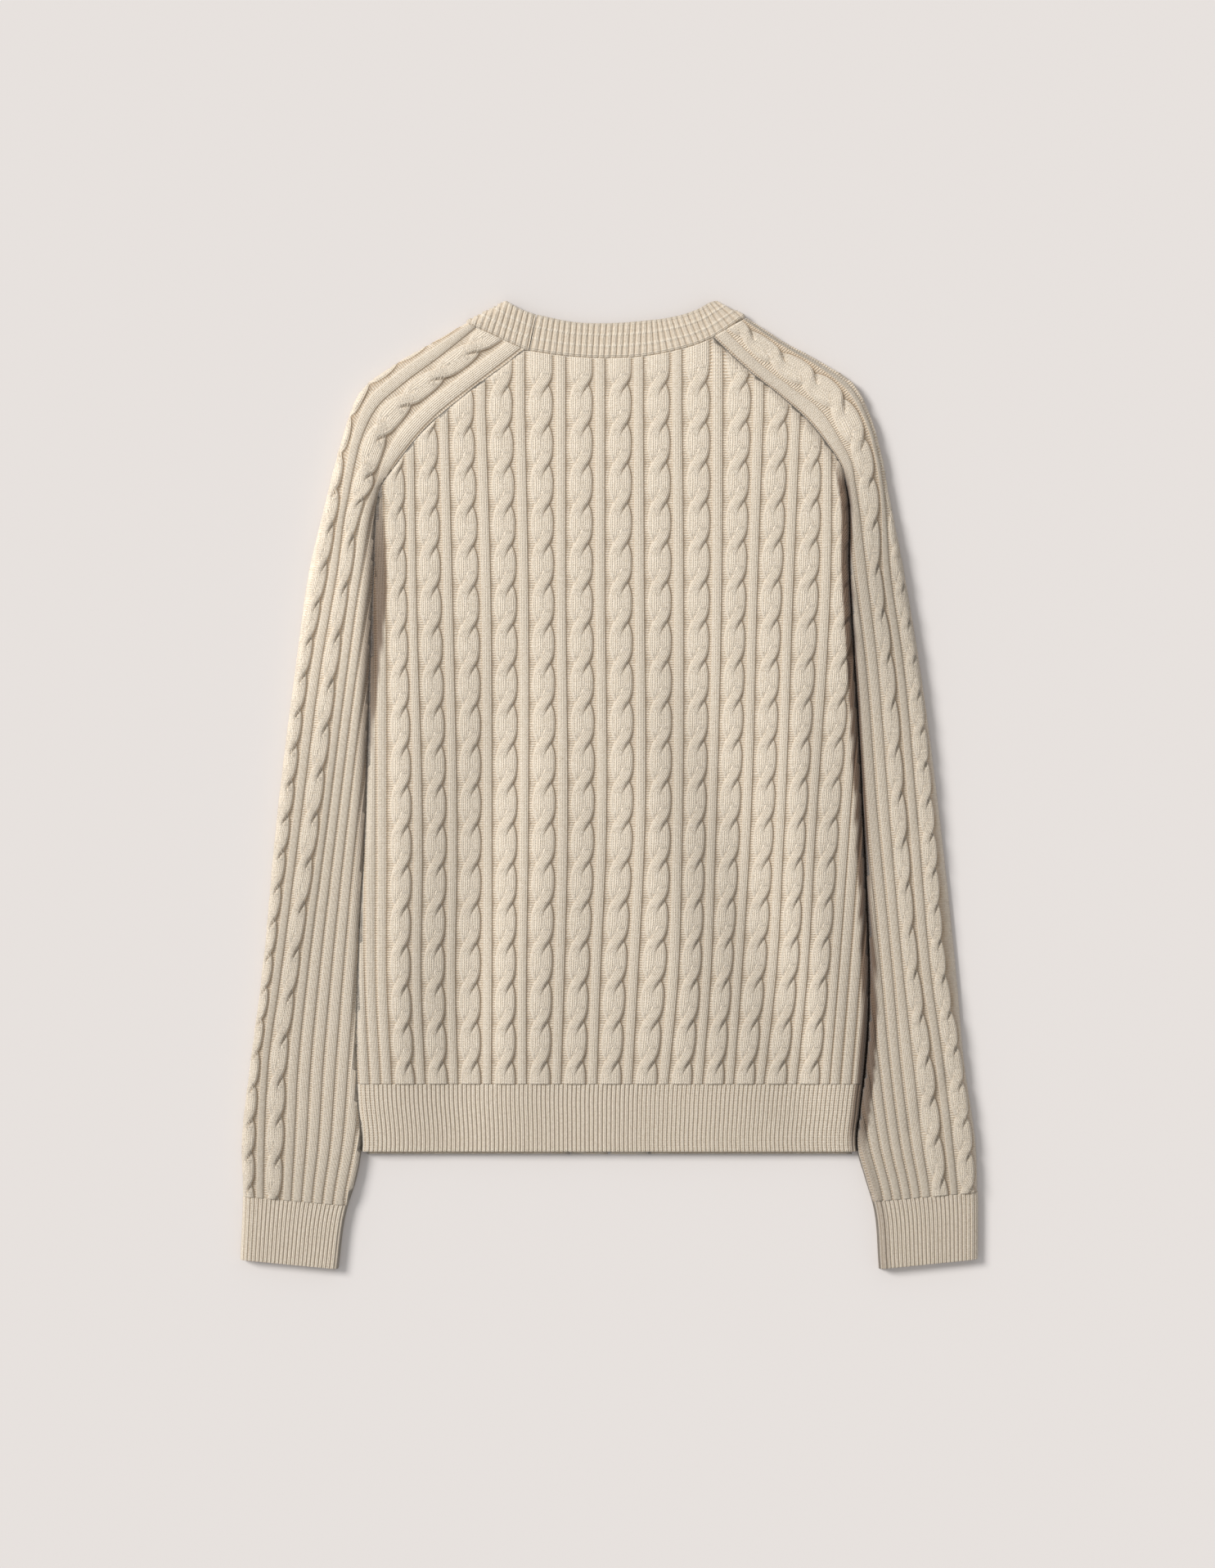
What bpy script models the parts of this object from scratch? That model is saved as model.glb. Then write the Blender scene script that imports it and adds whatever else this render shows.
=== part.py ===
"""Cable-knit cardigan laid flat on a table with its back up, each knitted piece a solid of its own.

x runs across (the wearer's right is at +x), y from hem to neck and z up from the table. Sizes are
millimetres until a mesh is made. Every piece is a sheet: a plain base surface worked out from the
tables below, cables and ribs raised along its normals, and a plain inner face one wall inside it.
"""
import bmesh
import bpy
import numpy as np

# ---- driving sizes, mm --------------------------------------------------------------------------
MM = 0.001
WALL = 3.0  # cloth between its ribs
UNDER = 4.5  # layer that lies on the table, with its ribs pressed flat
GAP = 0.25  # each piece keeps this from the middle of a seam
SIDE_CLEAR, CLEAR_TOP = 0.5, 220.0  # further gap below this height, where a side only lies by a sleeve
HIDDEN_GAP = 1.0  # between a lower piece and its neighbour
SIDE_GAP = 1.5  # between a front's side edge and the inside of the back's rounded side
UNDER_RETREAT = 0.35  # how much further the lower layer stops short of a softer rounding
SEAM_EASE = 4.0  # cables and ribs sink into a seam over this length
LOFT_MID, LOFT_REACH = 1.9, 1.6  # air between the two layers
SIDE_LOW = 3.0  # height at which a rounded side turns straight down
SIDE_FALL = 40.0  # length over which the sides round down below the underarm
FOLD_RADIUS = 8.0
FOLD_REACH = 14.0  # band rows this near their fold are drawn more closely
RIB_HEIGHT = 1.3
STRAND_HEIGHT, STRAND_SWING = 1.9, 0.6
FINE_RIB_HEIGHT = 0.9
CABLE_SHARE = 0.655  # a cable's part of its repeat, the rest is a rib
SIDE_RIB = 9.0  # rib pitch beside the outer cables
TWIST_TOP, TWIST_PITCH = 319.1, 32.1  # the back's crossings: the highest one and the step down
HEM_TOP, HEM_END, FRONT_HEM_END = -241.6, -296.0, -298.5
HEM_RIBS, CUFF_RIBS = 115, 25
BAND_RIB_PITCH = 4.8
SLOPE, SLOPE_ZERO = 0.019, -40.0  # the back's rows climb to the wearer's right
NECK_BEND = 320.0  # above this height the rows bend to the neckline

# ---- where the body meets the sleeves: raglan seam above, side crease below ------------------------
# y, x, rounding of the body's side, rounding of the sleeve's side
SIDE_LEFT = np.array([
    (-391.1, -219.0, 5.0, 5.0), (-343.0, -212.0, 5.0, 5.0), (-318.4, -204.3, 5.0, 5.0),
    (-294.0, -200.3, 5.0, 5.0), (-251.1, -203.3, 5.0, 5.0), (-158.7, -203.3, 5.0, 5.0),
    (-92.7, -200.3, 5.0, 5.0), (-26.7, -197.0, 6.0, 6.0), (39.3, -195.0, 8.0, 8.0),
    (105.3, -193.1, 11.0, 12.0), (171.3, -190.4, 15.0, 14.0), (229.4, -187.0, 12.0, 12.0),
    (238.6, -185.0, 8.0, 8.0), (259.1, -171.3, 5.0, 5.0), (274.9, -159.4, 5.0, 5.0),
    (291.4, -144.0, 5.0, 5.0), (307.9, -124.5, 5.0, 5.0), (322.0, -106.8, 5.0, 5.0),
    (338.2, -84.8, 5.0, 5.0), (350.8, -69.0, 5.0, 5.0)])
SIDE_RIGHT = np.array([
    (-389.1, 218.1, 5.0, 5.0), (-340.2, 213.5, 5.0, 5.0), (-317.1, 206.6, 5.0, 5.0),
    (-293.4, 200.3, 5.0, 5.0), (-262.0, 202.6, 5.0, 5.0), (-224.7, 207.2, 6.0, 5.0), (-158.7, 210.2, 7.0, 5.0),
    (-92.7, 208.2, 6.0, 5.0), (-26.7, 205.3, 5.5, 5.0), (39.3, 202.0, 5.5, 5.0),
    (105.3, 198.0, 5.5, 5.0), (171.3, 194.0, 5.5, 5.0), (240.6, 191.5, 5.5, 5.0),
    (257.1, 187.6, 5.0, 5.0), (276.2, 175.0, 5.0, 5.0), (294.7, 159.6, 5.0, 5.0),
    (312.5, 140.2, 5.0, 5.0), (331.7, 116.0, 5.0, 5.0), (344.2, 101.6, 5.0, 5.0),
    (360.9, 84.2, 5.0, 5.0)])
UNDERARM_LEFT, UNDERARM_RIGHT = (229.4, 238.6), (240.6, 257.1)  # last side row, first raglan row

# ---- back: x of the left edge of cables 1 to 13, and of the rib after them -------------------------
CABLE_LEVELS = np.array([-241.2, -158.7, -53.1, 171.3, 303.3])
CABLE_EDGES = np.array([
    (-175.9, -149.5, -123.1, -96.0, -67.7, -39.9, -10.9, 17.5, 46.5, 74.2, 99.3, 123.8, 150.2, 176.6),
    (-179.8, -152.8, -125.1, -95.4, -67.7, -37.3, -8.2, 22.1, 54.5, 80.9, 105.9, 133.7, 158.7, 183.8),
    (-179.8, -151.5, -123.8, -95.4, -66.3, -34.6, -3.6, 27.4, 57.8, 84.8, 112.5, 139.6, 164.7, 191.7),
    (-181.2, -156.8, -127.7, -96.7, -66.3, -36.0, -4.3, 27.4, 59.1, 90.1, 119.1, 148.2, 177.9, 204.9),
    (-185.1, -158.7, -131.0, -100.7, -69.0, -36.0, -4.3, 26.7, 57.8, 90.8, 123.8, 153.5, 178.5, 203.6)])
NECKLINE = np.array([
    (-69.0, 350.8), (-29.4, 345.5), (0.3, 344.5), (30.0, 346.2), (54.5, 350.8), (71.6, 355.6),
    (84.2, 360.9)])

# ---- sleeves: one row for each section, from the neck to the cuff's end ------------------------------
# outer fold x, y; y of the seam end; how far the lower layer stops short of the seam; grooves 1 to 4
# from the fold; rib pitch past them; turns of the outer cable and of the inner cable
SLEEVE_LEFT = np.array([
    (-117.0, 373.0, 350.8, 47.0, 3.3, 10.6, 35.0, 51.7, 8.6, -2.00, -0.30),
    (-148.2, 354.8, 319.8, 12.6, 4.0, 15.8, 35.6, 51.4, 8.6, -0.90, 1.15),
    (-177.9, 336.9, 293.4, 5.7, 5.9, 19.1, 39.6, 55.9, 8.6, 0.30, 2.30),
    (-200.3, 319.1, 272.2, 3.7, 7.9, 21.1, 44.2, 60.9, 8.6, 1.30, 3.15),
    (-213.5, 288.8, 251.8, 2.5, 8.6, 19.1, 41.6, 52.3, 8.6, 2.35, 3.85),
    (-224.1, 250.5, 238.6, 4.2, 9.9, 17.8, 35.6, 40.1, 8.6, 3.65, 4.55),
    (-229.4, 229.4, 229.4, 4.5, 12.5, 19.1, 33.7, 41.6, 8.6, 4.35, 5.10),
    (-243.2, 171.3, 171.3, 4.5, 16.5, 24.4, 35.6, 43.9, 8.6, 6.30, 6.80),
    (-252.5, 105.3, 105.3, 4.5, 13.2, 22.4, 35.6, 43.6, 7.9, 8.50, 8.50),
    (-268.9, -26.7, -26.7, 4.5, 13.2, 21.1, 36.3, 42.6, 8.1, 13.10, 12.15),
    (-281.5, -158.7, -158.7, 4.5, 9.2, 16.5, 30.4, 38.3, 9.6, 17.85, 15.80),
    (-290.1, -224.7, -224.7, 4.5, 9.2, 15.8, 31.0, 40.3, 10.1, 20.35, 17.70),
    (-297.3, -290.7, -290.7, 4.5, 12.5, 19.8, 35.6, 44.2, 9.6, 22.80, 19.75),
    (-296.0, -332.3, -339.9, 4.5, 10.6, 17.8, 32.3, 40.3, 8.4, 24.40, 21.10),
    (-298.0, -383.5, -391.1, 4.5, 10.6, 17.8, 32.3, 40.3, 8.4, 26.30, 22.70)])
SLEEVE_RIGHT = np.array([
    (112.4, 377.3, 360.9, 25.4, 2.0, 4.6, 19.8, 32.0, 7.9, -2.00, -0.35),
    (143.6, 357.4, 331.7, 3.0, 2.0, 5.3, 26.4, 37.3, 7.9, -0.90, 0.90),
    (173.9, 340.9, 312.5, 3.1, 2.6, 6.6, 31.7, 44.0, 7.9, 0.30, 1.95),
    (199.0, 323.1, 294.7, 2.7, 4.0, 9.2, 33.7, 48.2, 7.9, 1.30, 2.90),
    (212.2, 296.7, 276.2, 1.3, 3.3, 7.3, 30.4, 42.2, 7.9, 2.30, 3.65),
    (221.4, 263.7, 257.1, 4.2, 3.3, 7.3, 25.1, 34.3, 7.9, 3.50, 4.60),
    (225.4, 240.6, 240.6, 4.5, 4.0, 7.9, 25.7, 34.3, 7.9, 4.30, 5.25),
    (238.9, 171.3, 171.3, 4.5, 11.6, 18.5, 30.4, 40.3, 7.9, 6.70, 7.20),
    (250.1, 105.3, 105.3, 4.5, 13.2, 20.5, 33.7, 43.2, 8.2, 9.00, 9.05),
    (267.6, -26.7, -26.7, 4.5, 18.2, 26.7, 40.6, 50.2, 8.9, 13.60, 12.60),
    (281.5, -158.7, -158.7, 4.5, 20.5, 29.4, 42.9, 51.5, 9.2, 18.20, 16.30),
    (287.4, -224.7, -224.7, 4.5, 17.2, 25.1, 41.2, 51.8, 8.7, 20.50, 18.20),
    (296.7, -290.7, -290.7, 4.5, 18.8, 26.4, 43.2, 52.8, 8.4, 22.80, 20.25),
    (298.0, -329.0, -336.6, 4.5, 16.5, 23.4, 38.6, 46.9, 7.5, 24.20, 21.45),
    (298.0, -383.0, -391.1, 4.5, 16.5, 23.4, 38.6, 46.9, 7.5, 26.10, 23.00)])
CAP_ROWS, CUFF_ROW = 5, 13  # rows 0 to 5 end at the raglan seam, and row 13 is the cuff's seam

# ---- neckband: rows across it, from the join behind the wearer's left shoulder ---------------------
# x, y and face (1 on top, -1 beneath) of the seam end, then of the free end
BAND_RIGHT = np.array([
    (-64.4, 350.7, 1, -58.4, 379.8, 1), (-29.4, 346.2, 1, -27.4, 373.9, 1),
    (0.3, 345.0, 1, 2.3, 373.2, 1), (30.0, 346.7, 1, 30.0, 375.2, 1),
    (54.5, 351.4, 1, 47.2, 377.2, 1), (71.6, 356.4, 1, 61.7, 380.5, 1),
    (84.2, 361.9, 1, 73.6, 385.1, 1), (96.0, 369.2, 1, 80.2, 389.1, 1),
    (104.2, 375.1, 1, 85.5, 391.3, -1), (109.8, 379.3, -1, 86.1, 383.8, -1),
    (103.0, 375.0, -1, 86.4, 375.2, -1), (105.0, 342.9, -1, 80.2, 349.5, -1),
    (95.4, 300.0, -1, 68.3, 309.9, -1), (73.6, 248.5, -1, 46.5, 263.7, -1),
    (44.6, 203.0, -1, 20.1, 220.8, -1), (31.0, 168.0, -1, 3.0, 187.8, -1),
    (30.7, 148.2, -1, 1.0, 158.1, -1), (30.7, FRONT_HEM_END, -1, 1.0, FRONT_HEM_END, -1)])
BAND_LEFT = np.array([
    (-65.0, 350.9, 1, -59.0, 379.8, 1), (-78.9, 356.7, 1, -71.6, 384.5, 1),
    (-92.1, 363.0, 1, -83.5, 391.3, 1), (-102.0, 367.7, 1, -84.0, 381.8, -1),
    (-108.6, 371.0, 1, -83.9, 374.8, -1), (-115.2, 374.9, 1, -83.8, 367.6, -1),
    (-108.4, 368.6, -1, -83.4, 355.5, -1), (-106.0, 342.9, -1, -80.9, 342.2, -1),
    (-96.0, 300.0, -1, -69.0, 309.9, -1), (-73.6, 248.5, -1, -46.5, 263.7, -1),
    (-44.6, 203.0, -1, -20.1, 220.8, -1), (-31.0, 168.0, -1, -3.0, 187.8, -1),
    (-30.7, 148.2, -1, -1.0, 158.1, -1), (-30.7, FRONT_HEM_END, -1, -1.0, FRONT_HEM_END, -1)])
FOLD_RIGHT = ((85.5, 391.3), (111.2, 378.6))  # the shoulder fold: free edge, seam edge
FOLD_LEFT = ((-83.5, 391.3), (-115.2, 374.9))
BAND_FRONT_RIGHT, BAND_FRONT_LEFT = 11, 7  # first row wholly on the front

# ---- soft folds of the upper layer: a ridge (height > 0) or a trough along a line --------------------
# x and y of its ends, half width, height
FOLDS = np.array([
    (-127.0, -20.0, -129.0, -215.0, 21.0, -1.5),  # beside the second cable
    (93.0, -50.0, 88.0, -235.0, 26.0, -1.6),  # through cables nine to eleven
    (-82.0, 20.0, -84.0, -220.0, 16.0, 1.3),
    (36.0, 10.0, 32.0, -230.0, 22.0, 1.1),
    (150.0, 60.0, 146.0, -225.0, 18.0, 1.2),
    (-170.0, 20.0, -176.0, -230.0, 12.0, 0.8),
    (-60.0, 250.0, -40.0, 90.0, 40.0, 0.5),
    (80.0, 240.0, 60.0, 120.0, 30.0, -0.5),
    (-228.0, 150.0, -262.0, -260.0, 22.0, 1.0),  # along each sleeve
    (232.0, 150.0, 262.0, -260.0, 22.0, 1.0),
    (-205.0, 285.0, -232.0, 170.0, 24.0, 1.4),  # upper arms
    (198.0, 295.0, 226.0, 170.0, 22.0, 1.4),
    (-292.0, -215.0, -246.0, -262.0, 9.0, -1.3),  # creases above the cuffs
    (280.0, -230.0, 240.0, -285.0, 9.0, -1.3),
    (-250.0, -60.0, -212.0, -95.0, 8.0, -0.9),
    (256.0, -20.0, 226.0, -70.0, 8.0, -0.9)])
NECK_SAG = (0.0, 385.0, 58.0, 45.0, -3.4)  # x, y, half width, half height and depth of the back neck's dip

OATMEAL = (0.62, 0.54, 0.43, 1.0)

# keys of a sheet's side edges, and offsets of the next places: on an inner row and on a flat end row
LEFT_EDGE, RIGHT_EDGE = -8.0, 32.0
INNER_OFFSETS, RIM_OFFSETS = (0.0, 5.0, 9.0), (0.0, 2.0, 6.0)


# ---- curves and fields -----------------------------------------------------------------------------
def curve(knots, values, at):
    """Smooth curve through the rows of a table, read at one place or at many."""
    values = np.asarray(values, float)
    slopes = np.gradient(values, knots, axis=0)
    at = np.clip(at, knots[0], knots[-1])
    i = np.clip(np.searchsorted(knots, at, side="right") - 1, 0, len(knots) - 2)
    step = knots[i + 1] - knots[i]
    f = (at - knots[i]) / step
    if values.ndim == 2 and np.ndim(at):
        f, step = f[:, None], step[:, None]
    near = (1 + 2 * f) * (1 - f) ** 2 * values[i] + f * (1 - f) ** 2 * step * slopes[i]
    return near + f * f * (3 - 2 * f) * values[i + 1] - f * f * (1 - f) * step * slopes[i + 1]


def smooth(x):
    """0 below 0, 1 above 1 and a soft step between."""
    x = np.clip(x, 0.0, 1.0)
    return x * x * (3 - 2 * x)


def dome(distance, radius):
    """Quarter circle: 0 at an edge, 1 one radius inside it."""
    return np.sqrt(1 - (1 - np.clip(distance / radius, 0.0, 1.0)) ** 2)


def top_height(x, y):
    """Height of the upper layer's plain outer face."""
    loft = np.zeros(np.broadcast(x, y).shape)
    for x0, y0, x1, y1, half, height in FOLDS:
        along = np.array((x1 - x0, y1 - y0))
        length = np.hypot(*along)
        along /= length
        s = ((x - x0) * along[0] + (y - y0) * along[1]) / length
        across = (x - x0) * along[1] - (y - y0) * along[0]
        ends = smooth((s + 0.15) / 0.3) * smooth((1.15 - s) / 0.3)
        loft = loft + height * ends * np.exp(-(across / half) ** 2)
    loft = LOFT_MID + LOFT_REACH * np.tanh(loft / LOFT_REACH)
    sag_x, sag_y, half_x, half_y, depth = NECK_SAG
    sag = depth * np.exp(-((x - sag_x) / half_x) ** 2 - (np.minimum(y - sag_y, 0) / half_y) ** 2)
    return UNDER + 0.3 + WALL + loft + sag


def side_x(table, y):
    return curve(table[:, 0], table[:, 1], y)


# ---- body: back panel and hem ----------------------------------------------------------------------
def row_lift(x, v):
    """How far row v's point at x lies above the level v."""
    slope = SLOPE * (x - SLOPE_ZERO) * smooth((v - HEM_TOP) / 90.0)
    neck = curve(NECKLINE[:, 0], NECKLINE[:, 1], x) - NECKLINE[0, 1]
    return slope + smooth((v - NECK_BEND) / (NECKLINE[0, 1] - NECK_BEND)) * (neck - slope)


def row_end(table, v, inward):
    """x at which row v meets the sleeve."""
    y = v
    for _ in range(12):
        x = side_x(table, y) + inward * (GAP + SIDE_CLEAR * smooth((CLEAR_TOP - y) / 20.0))
        y = v + row_lift(x, v)
    return x


def side_low(z, v, underarm):
    """Height at which the side turns straight down: the full height at the underarm, low below it."""
    return z + (SIDE_LOW - z) * smooth((underarm[1] - v) / SIDE_FALL)


def body(v, across):
    """Base surface of the back and its hem. across is x, and runs on down the sides past the ends."""
    ends = ((SIDE_LEFT, UNDERARM_LEFT, 1), (SIDE_RIGHT, UNDERARM_RIGHT, -1))
    left, right = (row_end(table, v, inward) for table, _, inward in ends)
    x = np.clip(across, left, right)
    y = v + row_lift(x, v)
    z = top_height(x, y)
    for (table, underarm, inward), end in zip(ends, (left, right)):
        if v < underarm[1]:
            radius = curve(table[:, 0], table[:, 2], v)
            low = side_low(z, v, underarm)
            z = low + (z - low) * dome((x - end) * inward, radius)
    z = z - np.maximum(left - across, 0) - np.maximum(across - right, 0)
    return np.stack((x, y, np.maximum(z, 0.0)), axis=-1)


def body_ends(v):
    """First and last value of across on row v: on the table below the underarm, at the seam above."""
    ends = []
    for table, underarm, inward in ((SIDE_LEFT, UNDERARM_LEFT, 1), (SIDE_RIGHT, UNDERARM_RIGHT, -1)):
        x = row_end(table, v, inward)
        if v < underarm[1] - 0.1:
            x -= inward * float(side_low(top_height(x, v + row_lift(x, v)), v, underarm))
        ends.append(float(x))
    return ends


def back_columns(v):
    """(key, across, kind) for each column of row v; a kind is groove, rib, left or right strand."""
    edges = curve(CABLE_LEVELS, CABLE_EDGES, v)
    columns = []
    for side_rib in range(4):
        for key, kind in ((0.0, "groove"), (0.5, "rib")):
            part = (side_rib - 4 + key) * SIDE_RIB
            columns.append((part / 30.0, edges[0] + part, kind))
            columns.append((13 + (part + 4 * SIDE_RIB) / 30.0, edges[13] + part + 4 * SIDE_RIB, kind))
    shares = ((0.0, "groove"), (0.16, "left"), (0.495, "right"), (CABLE_SHARE, "groove"),
              (0.5 + 0.5 * CABLE_SHARE, "rib"))
    for cable in range(13):
        width = edges[cable + 1] - edges[cable]
        columns += [(cable + share, edges[cable] + share * width, kind) for share, kind in shares]
    return sorted(columns)


def column_height(kind, phase):
    """Raised height of a column, phase counting the cable's crossings upward."""
    swing = STRAND_SWING * np.sin(2 * np.pi * phase)
    return {"groove": 0.0, "rib": RIB_HEIGHT, "left": STRAND_HEIGHT - swing,
            "right": STRAND_HEIGHT + swing}[kind]


# ---- sleeves and cuffs ----------------------------------------------------------------------------------
class Sleeve:
    """One sleeve: t runs along it from the neck, d runs across from the outer fold."""

    def __init__(self, sections, side, underarm, sign):
        self.sections, self.side, self.underarm, self.sign = sections, side, underarm, sign
        seam = np.stack((side_x(side, sections[:, 2]), sections[:, 2]), axis=1)
        steps = np.hypot(*np.diff(0.5 * (sections[:, :2] + seam), axis=0).T)
        self.rows = np.concatenate(([0.0], np.cumsum(steps)))

    def section(self, t):
        t = float(np.clip(t, 0, self.rows[-1]))
        row = curve(self.rows, self.sections, t)
        outer = row[:2]
        seam = np.array((side_x(self.side, row[2]) + self.sign * GAP, row[2]))
        width = np.hypot(*(seam - outer))
        short = np.interp(t, self.rows, self.sections[:, 3])
        short += UNDER_RETREAT * (curve(self.side[:, 0], self.side[:, 3], row[2]) - 5.0)
        middle = 0.5 * float(top_height(*outer))
        return outer, (seam - outer) / width, width, width - short, middle, row

    def radius(self, middle):
        return min(FOLD_RADIUS, middle ** 2 / 3.4)

    def wrap(self, middle):
        """Length of the path from the fold's outermost line down to the table."""
        return 1.3 * self.radius(middle)

    def surface(self, t, d):
        """Base surface: d < 0 goes round the fold and along the table, d > width down the inner side."""
        outer, along, width, _, middle, row = self.section(t)
        radius, wrap = self.radius(middle), self.wrap(middle)
        angle = np.clip(-d / wrap, 0, 1) * np.pi / 2
        below = radius * (1 - np.cos(angle)) + np.maximum(-d - wrap, 0)
        plan = np.where(d < 0, below, np.minimum(d, width))
        x, y = outer[0] + along[0] * plan, outer[1] + along[1] * plan
        z = top_height(x, y)
        z = middle + (z - middle) * dome(plan, radius)
        if row[2] < self.underarm[1]:
            inner = curve(self.side[:, 0], self.side[:, 3], row[2])
            low = side_low(z, row[2], self.underarm)
            z = low + (z - low) * dome(width - plan, inner)
        z = np.where(d < 0, middle * (1 - np.sin(angle)), z - np.maximum(d - width, 0))
        return np.stack((x, y, np.maximum(z, 0.0)), axis=-1)

    def ends(self, t):
        """First and last d of row t."""
        _, _, width, under, middle, row = self.section(t)
        last = width
        if row[2] < self.underarm[1] - 0.1:
            last = width + float(self.surface(t, np.array([width]))[0, 2])
        first = -(self.wrap(middle) + max(under - self.radius(middle), 0.5))
        return first, last

    def grooves(self, t):
        """d of the fold and of every groove past it."""
        row = self.section(t)[5]
        return np.concatenate(([0.0], row[4:8], row[7] + row[8] * np.arange(1, 14)))

    def turns(self, t):
        return self.section(t)[5][9:11]

    def under_edge(self, t, past):
        """Plan point on the lower layer's free edge, moved on by past."""
        outer, along, _, under, _, _ = self.section(t)
        return outer + along * (under + past)


def sleeve_columns(sleeve, t):
    """(key, d, height) for the columns of row t, in the order of the grooves."""
    grooves, turns = sleeve.grooves(t), sleeve.turns(t)
    near, far = ("left", "right") if sleeve.sign < 0 else ("right", "left")
    columns = [(0.0, 0.0, 0.3)]
    for i in range(len(grooves) - 1):
        if i in (0, 2):
            phase = -turns[i // 2]
            shares = ((0.28, column_height(near, phase)), (0.72, column_height(far, phase)), (1.0, 0.0))
        else:
            shares = ((0.5, RIB_HEIGHT), (1.0, 0.0))
        step = grooves[i + 1] - grooves[i]
        columns += [(i + share, grooves[i] + share * step, height) for share, height in shares]
    return columns


# ---- neckband -----------------------------------------------------------------------------------------
class Band:
    """Half of the ribbed band: u runs along it from the join, v from the seam to the free edge."""

    def __init__(self, rows, fold):
        self.a, b = np.array(fold[0]), np.array(fold[1])
        along = (b - self.a) / np.hypot(*(b - self.a))
        self.inward = np.array((along[1], -along[0]))
        if self.inward[1] > 0:
            self.inward = -self.inward
        flat = [np.concatenate((self.unfold(r[0:2], r[2]), self.unfold(r[3:5], r[5]))) for r in rows]
        self.flat = np.array(flat)
        steps = np.hypot(*np.diff(0.5 * (self.flat[:, :2] + self.flat[:, 2:]), axis=0).T)
        self.rows = np.concatenate(([0.0], np.cumsum(steps)))

    def depth(self, points):
        """Distance from the fold line, above 0 on the top side."""
        return (points - self.a) @ self.inward

    def unfold(self, point, face):
        """The point as it lies before the band is folded under."""
        if face > 0:
            return np.array(point)
        return point - 2 * self.depth(point) * self.inward

    def flat_depths(self, u):
        """Distances of row u's two ends from the fold line, before the fold."""
        row = curve(self.rows, self.flat, float(u))
        return np.array((self.depth(row[:2]), self.depth(row[2:])))

    def surface(self, u, v):
        row = curve(self.rows, self.flat, np.clip(float(u), 0, self.rows[-1]))
        flat = row[:2] + (row[2:] - row[:2]) * np.asarray(v)[:, None]
        depth = self.depth(flat)
        plan = flat - 2 * np.minimum(depth, 0)[:, None] * self.inward
        top = top_height(plan[:, 0], plan[:, 1])
        middle = 0.5 * top
        radius = np.minimum(FOLD_RADIUS, middle ** 2 / 3.4)
        round_off = dome(np.abs(depth), radius)
        z = np.where(depth > 0, middle + (top - middle) * round_off, middle * (1 - round_off))
        return np.column_stack((plan, z))

    def seam_edge(self, u, past):
        """Plan point past the seam edge of row u."""
        ends = self.surface(u, np.array([0.0, 1.0]))[:, :2]
        out = (ends[0] - ends[1]) / np.hypot(*(ends[0] - ends[1]))
        return ends[0] + out * past


# ---- sheets ---------------------------------------------------------------------------------------------
def normals(surface, t, d, t_step, d_step, climb, sign):
    """Outward unit normals along row t; with climb 0 none of them leans over a neighbouring row."""
    across = surface(t, d + d_step) - surface(t, d - d_step)
    along = surface(t + t_step, d) - surface(t - t_step, d)
    along[:, 2] *= climb
    n = np.cross(across, along) * sign
    return n / np.linalg.norm(n, axis=1)[:, None]


def wall_of(normal):
    """Wall thickness: the lower layer is thicker, because its ribs are pressed flat."""
    return WALL + (UNDER - WALL) * smooth((-normal[:, 2] - 0.7) / 0.3)


def outer_row(surface, t, keys, d, heights, steps, sign):
    """Row of the outer face: the base surface raised along its normals."""
    base, n = surface(t, d), normals(surface, t, d, *steps, sign)
    heights = heights * smooth(base[:, 2] / 4.0 - 0.3)
    points = base + n * np.asarray(heights)[:, None]
    points[:, 2] = np.maximum(points[:, 2], 0.0)
    return keys, points


def inner_row(surface, t, keys, d, steps, sign):
    """Row of the plain inner face."""
    base, n = surface(t, d), normals(surface, t, d, *steps, sign)
    points = base - n * wall_of(n)[:, None]
    for key, inward in ((LEFT_EDGE, 1), (RIGHT_EDGE, -1)):
        corner = keys == key
        points[corner] = surface(t, d[corner] + inward * WALL) - (0, 0, WALL)
    points[:, 2] = np.maximum(points[:, 2], 0.0)
    return keys, points


def zip_rows(faces, a, b, keys_a, keys_b, b_first=True):
    """Triangles between two rows of vertices, matched by their keys; the row that lags moves first."""
    i = j = 0
    while i < len(a) - 1 or j < len(b) - 1:
        next_a = keys_a[i + 1] if i < len(a) - 1 else np.inf
        next_b = keys_b[j + 1] if j < len(b) - 1 else np.inf
        if abs(next_a - next_b) > 1e-6:
            move_b = next_b < next_a
        elif abs(keys_a[i] - keys_b[j]) > 1e-6:
            move_b = keys_b[j] < keys_a[i]
        else:
            move_b = b_first
        if move_b:
            faces.append((a[i], b[j], b[j + 1]))
            j += 1
        else:
            faces.append((a[i], b[j], a[i + 1]))
            i += 1


def rim(faces, a, b, points):
    """Strip between the equal end rows of the outer and the inner face, cut along its shorter diagonals."""
    for i in range(len(a) - 1):
        from_a = np.linalg.norm(points[a[i]] - points[b[i + 1]])
        from_b = np.linalg.norm(points[b[i]] - points[a[i + 1]])
        if from_b < from_a:
            faces += [(a[i], b[i], a[i + 1]), (b[i], b[i + 1], a[i + 1])]
        else:
            faces += [(a[i], b[i], b[i + 1]), (a[i], b[i + 1], a[i + 1])]


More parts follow.
